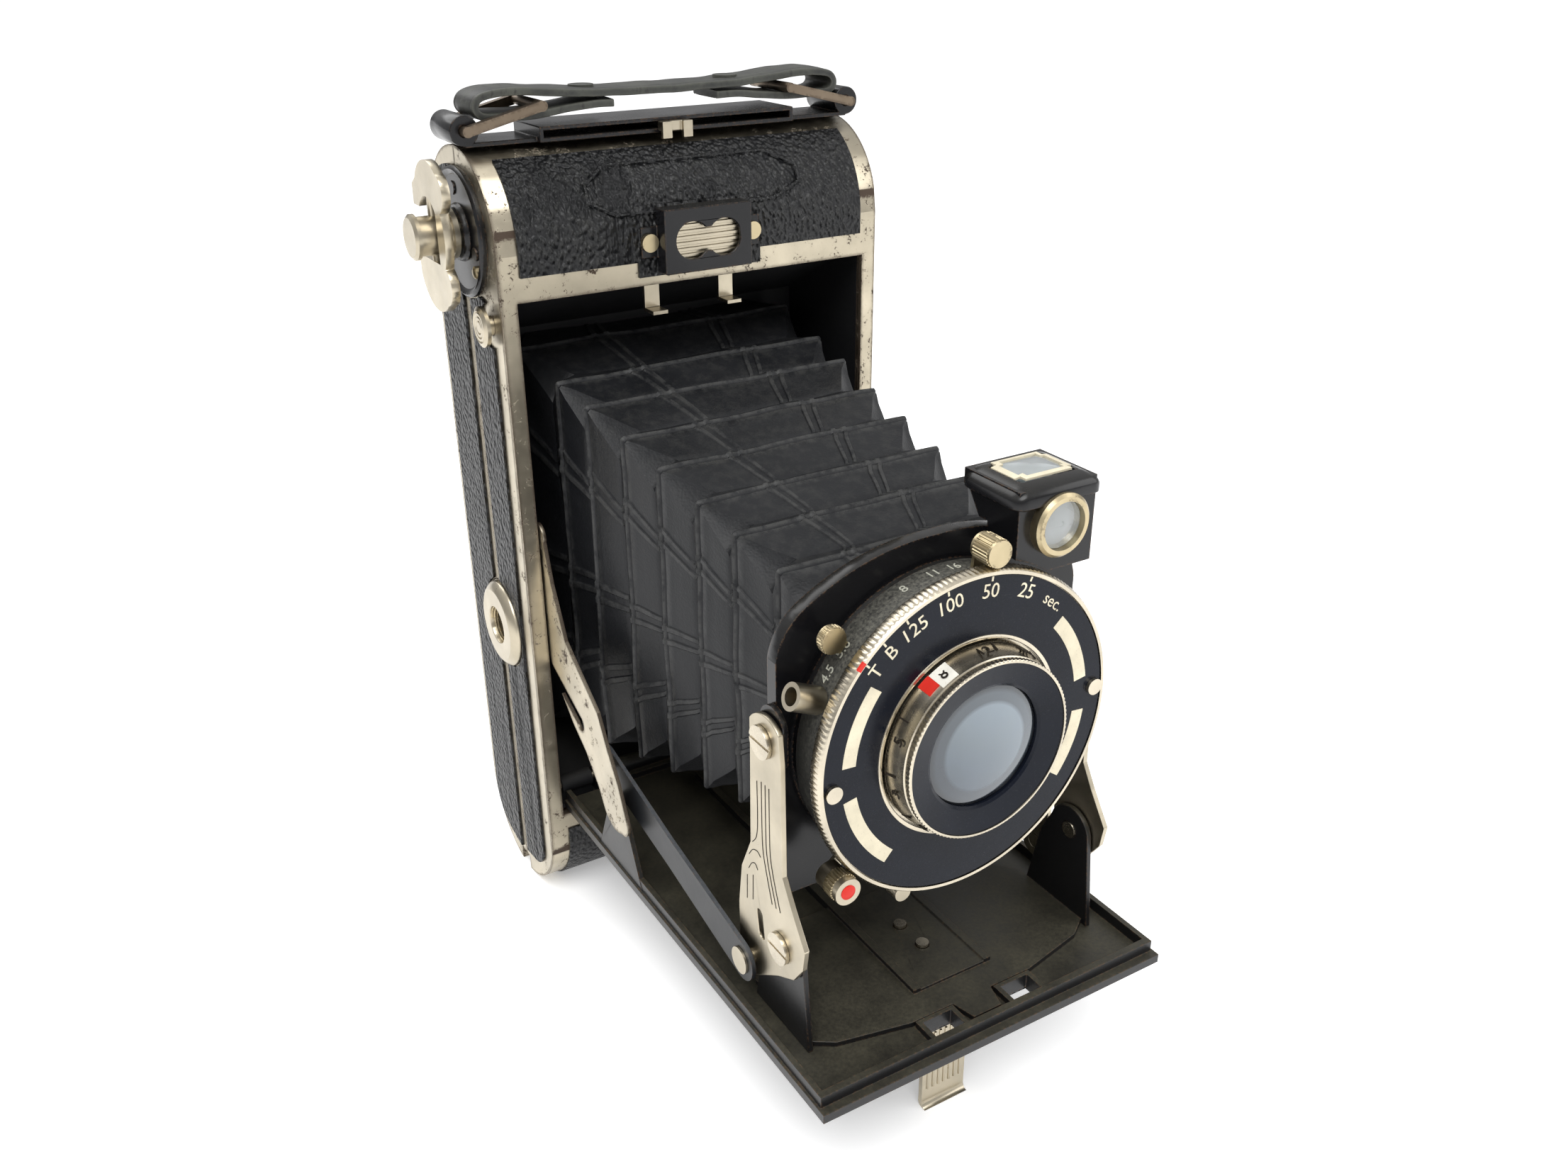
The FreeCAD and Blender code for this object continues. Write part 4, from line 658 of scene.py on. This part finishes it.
# ---------------------------------------------------------------- handle
def smooth_path(knots, steps=8):
    """Catmull-Rom curve through the knots."""
    ends = [knots[0]] + list(knots) + [knots[-1]]
    path = []
    for i in range(1, len(ends) - 2):
        a, b, c, d = (Vector(k) for k in ends[i - 1:i + 3])
        for k in range(steps):
            t = k / steps
            path.append(0.5 * (2 * b + (c - a) * t + (2 * a - 5 * b + 4 * c - d) * t * t
                               + (3 * b - a - 3 * c + d) * t ** 3))
    path.append(Vector(knots[-1]))
    return path


def strap():
    """One leather band whose ends pass round the wire loops and come back beneath."""
    half = ((11.0, 89.30), (15.0, 89.25), (21.0, 88.75), (26.5, 88.15), (33.0, 88.20),
            (36.4, 88.45), (37.75, 89.35), (37.85, 90.60), (36.7, 91.75), (33.5, 92.35),
            (29.0, 92.30), (23.0, 91.75), (15.0, 91.25), (8.0, 91.05))
    left = [(-x, z) for x, z in half]
    knots = left + [(0.0, 91.05)] + list(half[::-1])
    path = smooth_path([(x, 0, z) for x, z in knots], 5)
    low, high = 105.25, 115.75
    rings = []
    for i, here in enumerate(path):
        ahead, back = path[min(i + 1, len(path) - 1)], path[max(i - 1, 0)]
        along = (ahead - back).normalized()
        out = Vector((-along.z, 0, along.x))
        ring = []
        outline = [(-1, -0.5), (-0.985, -0.86), (-0.94, -1), (-0.5, -1.02), (0, -1.04),
                   (0.5, -1.02), (0.94, -1), (0.985, -0.86), (1, -0.5), (1, 0.5),
                   (0.985, 0.86), (0.94, 1.0), (0.86, 1.04), (0.80, 0.86), (0.74, 1.05),
                   (0.4, 1.13), (0, 1.16), (-0.4, 1.13), (-0.74, 1.05), (-0.80, 0.86),
                   (-0.86, 1.04), (-0.94, 1.0), (-0.985, 0.86), (-1, 0.5)]
        for u, v in outline:
            wave = 0.16 * noise.noise(Vector((here.x * 0.22, u * 1.3, here.z * 0.1)))
            edge = 0.18 * noise.noise(Vector((here.x * 0.3, 7.0 + u, 0)))
            y = (low + high) / 2 + u * ((high - low) / 2 - 0.15) + edge
            ring.append(Vector((here.x, y, here.z)) + out * (v * 0.68 + wave))
        rings.append(ring)
    points, faces = skin(rings)
    obj = piece("strap_leather_band", points, faces, "handle", "strap", "strap_leather")
    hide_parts("handle_strap")


# ---------------------------------------------------------------- shutter and lens
BAR_ANGLES = ((142.5, 175.5), (190.5, 229.0), (9.0, 43.0), (324.0, 354.0))
SPEEDS = (("T", 137.3), ("B", 128.8), ("125", 117.6), ("100", 101.8), ("50", 84.1),
          ("25", 67.1), ("sec.", 52.0))


def speed_rim():
    """Nickel rim with fine teeth round its edge."""
    teeth = 190
    profile = [(5.3, 28.35), (5.3, 28.9), (5.62, 29.16), (5.9, 29.3), (7.7, 29.3),
               (7.9, 29.1), (7.9, 16.0), (6.35, 16.0), (6.35, 28.35)]

    def cut(i, k):
        return -0.15 if i in (3, 4) and k % 4 in (2, 3) else 0.0

    points, faces = lathe(profile, teeth * 4, cut)
    rim = piece("speed_rim", points, faces, "speed_dial", "bright", "bright_nickel")
    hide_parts("speed_ring")
    mark = sector(28.5, 29.28, 136.9, 140.1, 5.22, 5.6, 4)
    piece("speed_mark", *mark, "speed_dial", "red", "red_glass", False)


def dial_figures():
    """Speeds, ticks and the four pale bars of the dial, and the line round its opening."""
    parts = [dial_text(t, 3.5 if len(t) < 4 else 3.0, 25.6, a, 5.47) for t, a in SPEEDS]
    for (start, end) in BAR_ANGLES:
        parts.append(sector(22.4, 24.9, start, end, 5.43, 5.52, 24))
    for turn in (137.3, 128.8, 118.6, 101.8, 84.1, 67.1):
        parts.append(sector(27.35, 28.15, turn - 0.35, turn + 0.35, 5.43, 5.52, 2))
    piece("dial_figures", *merge(parts), "standard", "cream", "dial", False)
    ring = lathe([(5.36, 17.4), (5.30, 17.7), (5.36, 18.0), (5.52, 18.05), (5.52, 17.35)], 144)
    piece("dial_inner_line", *ring, "standard", "bright", "bright_nickel")


def focus_details():
    """Focus ring with a milled front edge, distance figures, white field and red index."""
    teeth = 120
    profile = [(0.0, 15.45), (0.0, 15.8), (0.12, 16.0), (1.0, 16.0), (1.12, 15.8),
               (1.4, 15.8), (1.55, 16.02), (2.6, 16.1), (5.2, 16.85), (5.42, 16.8),
               (5.42, 15.45)]

    def cut(i, k):
        return -0.10 if i in (2, 3) and k % 4 in (2, 3) else 0.0

    points, faces = lathe(profile, teeth * 4, cut)
    ring = piece("focus_milled_ring", points, faces, "focus_cell", "bright", "bright_nickel")
    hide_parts("focus_ring")

    def patch(start, end, lift, y_low=1.75, y_high=5.0):
        rings = []
        for k in range(9):
            turn = start + (end - start) * k / 8
            low = 16.03 + (y_low - 1.6) * 0.24 + lift
            high = 16.03 + (y_high - 1.6) * 0.24 + lift
            rings.append([polar(low, turn, y_low), polar(high, turn, y_high),
                          polar(high - 0.3, turn, y_high), polar(low - 0.3, turn, y_low)])
        return skin(rings)

    piece("focus_white_field", *patch(111.5, 123.2, 0.06), "focus_cell", "white", "dial", False)
    piece("focus_red_index", *patch(123.3, 131.5, 0.08, 2.6, 5.1), "focus_cell", "red",
          "red_glass", False)
    parts = [rim_text(t, 2.9, 16.58, a, 3.4, 0.16)
             for t, a in (("8", 117.4), ("12", 89.0), ("30", 58.0), ("5", 162.0),
                          ("3", 196.0), ("2", 232.0), ("1.5", 270.0), ("1", 305.0))]
    for turn in (80.0, 48.0, 150.0, 184.0, 218.0, 252.0, 288.0):
        parts.append(patch(turn - 0.45, turn + 0.45, 0.06, 3.2, 5.1))
    piece("focus_figures", *merge(parts), "focus_cell", "ink", "black_paint", False)
    heads = []
    for turn in (203.0, 23.0):
        x, _, z = polar(13.6, turn, 0)
        profile = ((1.75, 0.62), (1.2, 0.62), (1.08, 0.5), (1.05, 0.1))
        heads.append(skin([circle(x, y, z, r, 14) for y, r in profile]))
    piece("lens_ring_screws", *merge(heads), "focus_cell", "bright", "bright_nickel")


def band_figures():
    """Faint aperture and speed figures on the dusty shutter band."""
    rows = (("4.5", 147.0), ("5.6", 137.5), ("8", 109.0), ("11", 97.0), ("16", 88.5),
            ("22", 66.0))
    radius = 27.42
    parts = [rim_text(t, 2.5, radius, a, 12.6) for t, a in rows]
    parts += [rim_text(t, 2.2, radius, a, 8.8) for t, a in (("125", 120.0), ("100", 102.0))]
    band = [(7.95, 27.0), (7.95, 27.3), (8.1, radius), (10.4, radius), (10.4, 27.0)]
    piece("band_front", *lathe(band, 144), "standard", "band", "black_paint")
    piece("band_figures", *merge(parts), "standard", "faint", "dial", False)


def red_dot():
    """Red end of the self-timer knob."""
    x, _, z = polar(31.9, 220.0, 0)
    profile = ((4.2, 1.35), (3.72, 1.35), (3.6, 1.1), (3.56, 0.4))
    piece("timer_red_dot", *skin([circle(x, y, z, r, 20) for y, r in profile]), "self_timer",
          "red", "red_glass")


# ---------------------------------------------------------------- finder
def rounded(x0, x1, y0, y1, radius, steps=5):
    """Rounded rectangle outline, anticlockwise seen from above."""
    outline = []
    for cx, cy, start in ((x1 - radius, y1 - radius, 0), (x0 + radius, y1 - radius, 90),
                          (x0 + radius, y0 + radius, 180), (x1 - radius, y0 + radius, 270)):
        for k in range(steps + 1):
            a = math.radians(start + 90 * k / steps)
            outline.append((cx + radius * math.cos(a), cy + radius * math.sin(a)))
    return outline


FINDER_X, FINDER_Y = 18.0, 15.6
FINDER_HALF_WIDTH = 9.0
FINDER_CROWN = 1.45


def finder_cap():
    """Overhanging lid of the finder, with a pale stepped border round its glass."""
    def loop(inset, z, radius, dome=0.0):
        flat = rounded(9.0 + inset, 27.0 - inset, 7.6 + inset, 22.65 - inset, radius)
        return [(x, y, z + dome * (1 - ((x - FINDER_X) / FINDER_HALF_WIDTH) ** 2))
                for x, y in flat]

    lid = [loop(0.5, 36.1, 1.8), loop(0.0, 36.5, 2.2), loop(0.0, 37.7, 2.2, 0.9),
           loop(0.25, 38.2, 2.1, 1.15), loop(0.9, 38.6, 1.9, 1.35), loop(2.2, 38.95, 1.2, 1.45),
           loop(3.0, 39.0, 0.8, 1.45), loop(3.2, 38.8, 0.7, 1.4), loop(3.2, 38.6, 0.7, 0.3),
           loop(1.2, 36.4, 1.0)]
    piece("finder_lid", *hoop(lid), "standard", "enamel", "black_enamel")
    outline = [(13.2, 11.2), (22.8, 11.2), (22.8, 12.6), (23.9, 12.6), (23.9, 18.6),
               (22.8, 18.6), (22.8, 20.0), (13.2, 20.0), (13.2, 18.6), (12.1, 18.6),
               (12.1, 12.6), (13.2, 12.6)]
    def at(flat, z):
        return [(x, y, z + FINDER_CROWN * (1 - ((x - FINDER_X) / FINDER_HALF_WIDTH) ** 2))
                for x, y in flat]

    def shrunk(flat, share):
        return [(FINDER_X + (x - FINDER_X) * share, FINDER_Y + (y - FINDER_Y) * share)
                for x, y in flat]

    inner = shrunk(outline, 0.80)
    rings = [at(outline, 38.75), at(outline, 39.1), at(inner, 39.1), at(inner, 38.75)]
    piece("finder_border", *hoop(rings), "standard", "cream", "brass", False)
    dome = []
    for k, lift in enumerate((0.0, 0.22, 0.36, 0.42)):
        glass_outline = rounded(13.0, 23.0, 11.9, 19.3, 0.8)
        dome.append(at(shrunk(glass_outline, 1.0 - k * 0.3), 38.72 + lift))
    piece("finder_top_lens", *skin(dome), "standard", "finder_glass", "glass")


# ---------------------------------------------------------------- case details
TOP_Y, TOP_Z = 111.5, 65.9


def cartouche():
    """Blank pressed border on the curved leather above the bed release."""
    outline = [(-22.0, 76.4), (-22.0, 73.4), (-16.8, 70.9), (16.8, 70.9), (23.0, 73.4),
               (23.0, 76.4), (17.0, 79.2), (-17.0, 79.2)]
    path = []
    size = len(outline)
    for i, (x, z) in enumerate(outline):
        nx, nz = outline[(i + 1) % size]
        steps = max(2, int(math.hypot(nx - x, nz - z) / 0.8))
        for k in range(steps):
            t = k / steps
            px, pz = x + (nx - x) * t, z + (nz - z) * t
            path.append((px, TOP_Y - math.sqrt(18.05 ** 2 - (pz - TOP_Z) ** 2), pz))
    points, faces = wire(path, 0.42, 8, True)
    piece("leather_border", points, faces, "case", "leather", "leatherette")


SOCKET_Y, SOCKET_Z = 109.0, -13.2
WIND_Y, WIND_Z = 110.0, 68.0


def socket_thread():
    """Fine thread inside the tripod bush."""
    path = []
    turns, steps = 6, 36
    mouth, depth, radius = -42.6, 3.6, 3.85
    for k in range(turns * steps + 1):
        a = math.tau * k / steps
        path.append((mouth + depth * k / (turns * steps), SOCKET_Y + radius * math.cos(a),
                     SOCKET_Z + radius * math.sin(a)))
    piece("socket_thread", *wire(path, 0.2, 6), "case", "brass", "bright_nickel")


def disc_screws():
    """Slotted brass screws of the winding disc."""
    parts = []
    spread = 10.2
    for turn in (35.0, 215.0):
        cy = WIND_Y + spread * math.cos(math.radians(turn))
        cz = WIND_Z + spread * math.sin(math.radians(turn))
        rings = [[(x, cy + r * math.cos(a), cz + r * math.sin(a))
                  for a in (math.tau * k / 18 for k in range(18))]
                 for x, r in ((-41.6, 1.15), (-42.5, 1.15), (-42.75, 0.8), (-42.8, 0.2))]
        parts.append(skin(rings))
    piece("disc_screws", *merge(parts), "case", "brass", "brass")


def strut_lines():
    """Engraved lines that run down each strut and part round its knee."""
    lines = [[(14.6 + 1.2 * k, -4.0), (14.6 + 1.2 * k, -12.0), (14.4 + 1.2 * k, -17.0),
              (13.4 + 1.2 * k, -21.0), (11.4 + 1.3 * k, -26.4)] for k in range(3)]
    lines += [[(18.4, -4.6), (18.4, -12.5), (18.9, -15.8), (20.2, -17.6)],
              [(17.6, -19.2), (18.6, -18.6), (20.2, -19.2), (21.4, -20.8)],
              [(18.6, -22.4), (19.4, -21.6), (20.6, -22.2), (21.6, -23.8)],
              [(20.2, -24.4), (20.4, -29.6)], [(22.2, -25.6), (22.4, -30.6)]]
    parts = []
    for x in (-32.6, 32.6):
        for line in lines:
            path = smooth_path([(x, y, z) for y, z in line], 4)
            parts.append(wire(path, 0.085, 6))
    piece("strut_engraving", *merge(parts), "strut_set", "ink", "nickel")


def knurled_knobs():
    """Milled sleeves round the three lever knobs."""
    points = 112
    for name, body, turn, radius, low, high, size in (
            ("cocking_milling", "cocking", 83.0, 31.8, 5.6, 9.4, 2.46),
            ("aperture_milling", "aperture", 137.0, 31.4, 10.95, 12.3, 2.36),
            ("timer_milling", "self_timer", 220.0, 31.9, 5.0, 7.6, 2.56)):
        cx, _, cz = polar(radius, turn, 0)
        rings = []
        for y, fall in ((low, 0.3), (low + 0.15, 0.0), (high - 0.15, 0.0), (high, 0.3)):
            ring = []
            for k in range(points):
                a = math.tau * k / points
                r = size - fall - 0.16 * (k % 4 > 1)
                ring.append((cx + r * math.cos(a), y, cz + r * math.sin(a)))
            rings.append(ring)
        piece(name, *skin(rings), body, "brass", "brass")


def housing_surround():
    """Leather that fills the space round the bed release housing."""
    def at(x, z, lift):
        if z <= TOP_Z:
            return (x, TOP_Y - 18.0 + lift, z)
        return (x, TOP_Y - math.sqrt((18.0 - lift) ** 2 - (z - TOP_Z) ** 2), z)

    heights = [59.0 + 0.6 * k for k in range(23)]
    rings = [[at(-13.2, z, 0.06), at(13.2, z, 0.06), at(13.2, z, 0.4), at(-13.2, z, 0.4)]
             for z in heights]
    piece("housing_surround", *skin(rings), "case", "leather", "leatherette")


# ---------------------------------------------------------------- stage
FLOOR_HALF = 30.0


def stage():
    """Pale floor at the height of the camera's lowest point."""
    low = CAD_BOX[0][2]
    size = FLOOR_HALF
    mesh = bpy.data.meshes.new("floor")
    mesh.from_pydata([(-size, -size, low), (size, -size, low), (size, size, low),
                      (-size, size, low)], [], [(0, 1, 2, 3)])
    floor = bpy.data.objects.new("floor", mesh)
    bpy.context.scene.collection.objects.link(floor)
    s = Shader("pale_floor")
    tone = s.span(s.noise(6.0, 3.0), 0.3, 0.7, 0.0, 1.0)
    s.finish(Base_Color=s.mix(tone, (0.93, 0.93, 0.93), (0.95, 0.95, 0.95)), Roughness=0.9,
             Specular_IOR_Level=0.1, Emission_Color=(1.0, 1.0, 1.0), Emission_Strength=0.30)
    mesh.materials.append(s.material)


LIGHT_AIM = (0, 0.05, 0)
SKY_STRENGTH = 0.90


def lights():
    """Plain white to the camera, a grey-to-white sky to the object, and three soft lamps."""
    world = bpy.data.worlds.new("studio")
    bpy.context.scene.world = world
    world.use_nodes = True
    tree = world.node_tree
    tree.nodes.clear()
    coords = tree.nodes.new("ShaderNodeTexCoord")
    split = tree.nodes.new("ShaderNodeSeparateXYZ")
    ramp = tree.nodes.new("ShaderNodeValToRGB")
    back = tree.nodes.new("ShaderNodeBackground")
    out = tree.nodes.new("ShaderNodeOutputWorld")
    tree.links.new(coords.outputs["Generated"], split.inputs[0])
    tree.links.new(split.outputs["Z"], ramp.inputs[0])
    tree.links.new(ramp.outputs[0], back.inputs[0])
    path = tree.nodes.new("ShaderNodeLightPath")
    plain = tree.nodes.new("ShaderNodeBackground")
    pick = tree.nodes.new("ShaderNodeMixShader")
    plain.inputs[1].default_value = 1.0
    plain.inputs[0].default_value = (1.0, 1.0, 1.0, 1.0)
    tree.links.new(path.outputs["Is Camera Ray"], pick.inputs[0])
    tree.links.new(back.outputs[0], pick.inputs[1])
    tree.links.new(plain.outputs[0], pick.inputs[2])
    tree.links.new(pick.outputs[0], out.inputs[0])
    ramp.color_ramp.elements[0].color = (0.34, 0.34, 0.35, 1)
    ramp.color_ramp.elements[1].color = (1.0, 1.0, 1.0, 1)
    ramp.color_ramp.elements[1].position = 0.75
    back.inputs[1].default_value = SKY_STRENGTH
    for name, place, size, power in (("key", (-0.35, -0.45, 0.95), 0.8, 9.0),
                                     ("fill", (0.9, -0.5, 0.5), 0.9, 4.0),
                                     ("back", (-0.2, 0.9, 0.8), 0.8, 4.0)):
        light = bpy.data.lights.new(name, "AREA")
        light.shape = "DISK"
        light.size = size
        light.energy = power
        obj = bpy.data.objects.new(name, light)
        obj.location = place
        beam = Vector(LIGHT_AIM) - Vector(place)
        obj.rotation_euler = beam.to_track_quat("-Z", "Y").to_euler()
        bpy.context.scene.collection.objects.link(obj)


CAMERA_PLACE = (-125.816, -144.918, 120.576)
LENS_LENGTH = 31.97


def camera():
    """Camera above the front left corner, as the object is photographed."""
    yaw, pitch, roll = -0.543, -0.450, -0.007
    ahead = Vector((-math.sin(yaw) * math.cos(pitch), math.cos(yaw) * math.cos(pitch),
                    math.sin(pitch)))
    level = ahead.cross(Vector((0, 0, 1))).normalized()
    above = level.cross(ahead)
    right = level * math.cos(roll) + above * math.sin(roll)
    up = above * math.cos(roll) - level * math.sin(roll)
    data = bpy.data.cameras.new("camera")
    data.lens = LENS_LENGTH
    data.sensor_width = 36.0
    data.clip_start = 0.005
    obj = bpy.data.objects.new("camera", data)
    bpy.context.scene.collection.objects.link(obj)
    turn = Matrix((right, up, -ahead)).transposed().to_4x4()
    obj.matrix_world = Matrix.Translation(Vector(CAMERA_PLACE) * MM) @ turn
    bpy.context.scene.camera = obj


dress_nodes()
bellows()
strap()
speed_rim()
dial_figures()
focus_details()
band_figures()
red_dot()
finder_cap()
cartouche()
socket_thread()
disc_screws()
strut_lines()
knurled_knobs()
housing_surround()
stage()
lights()
camera()
bpy.context.scene.view_settings.view_transform = "Standard"
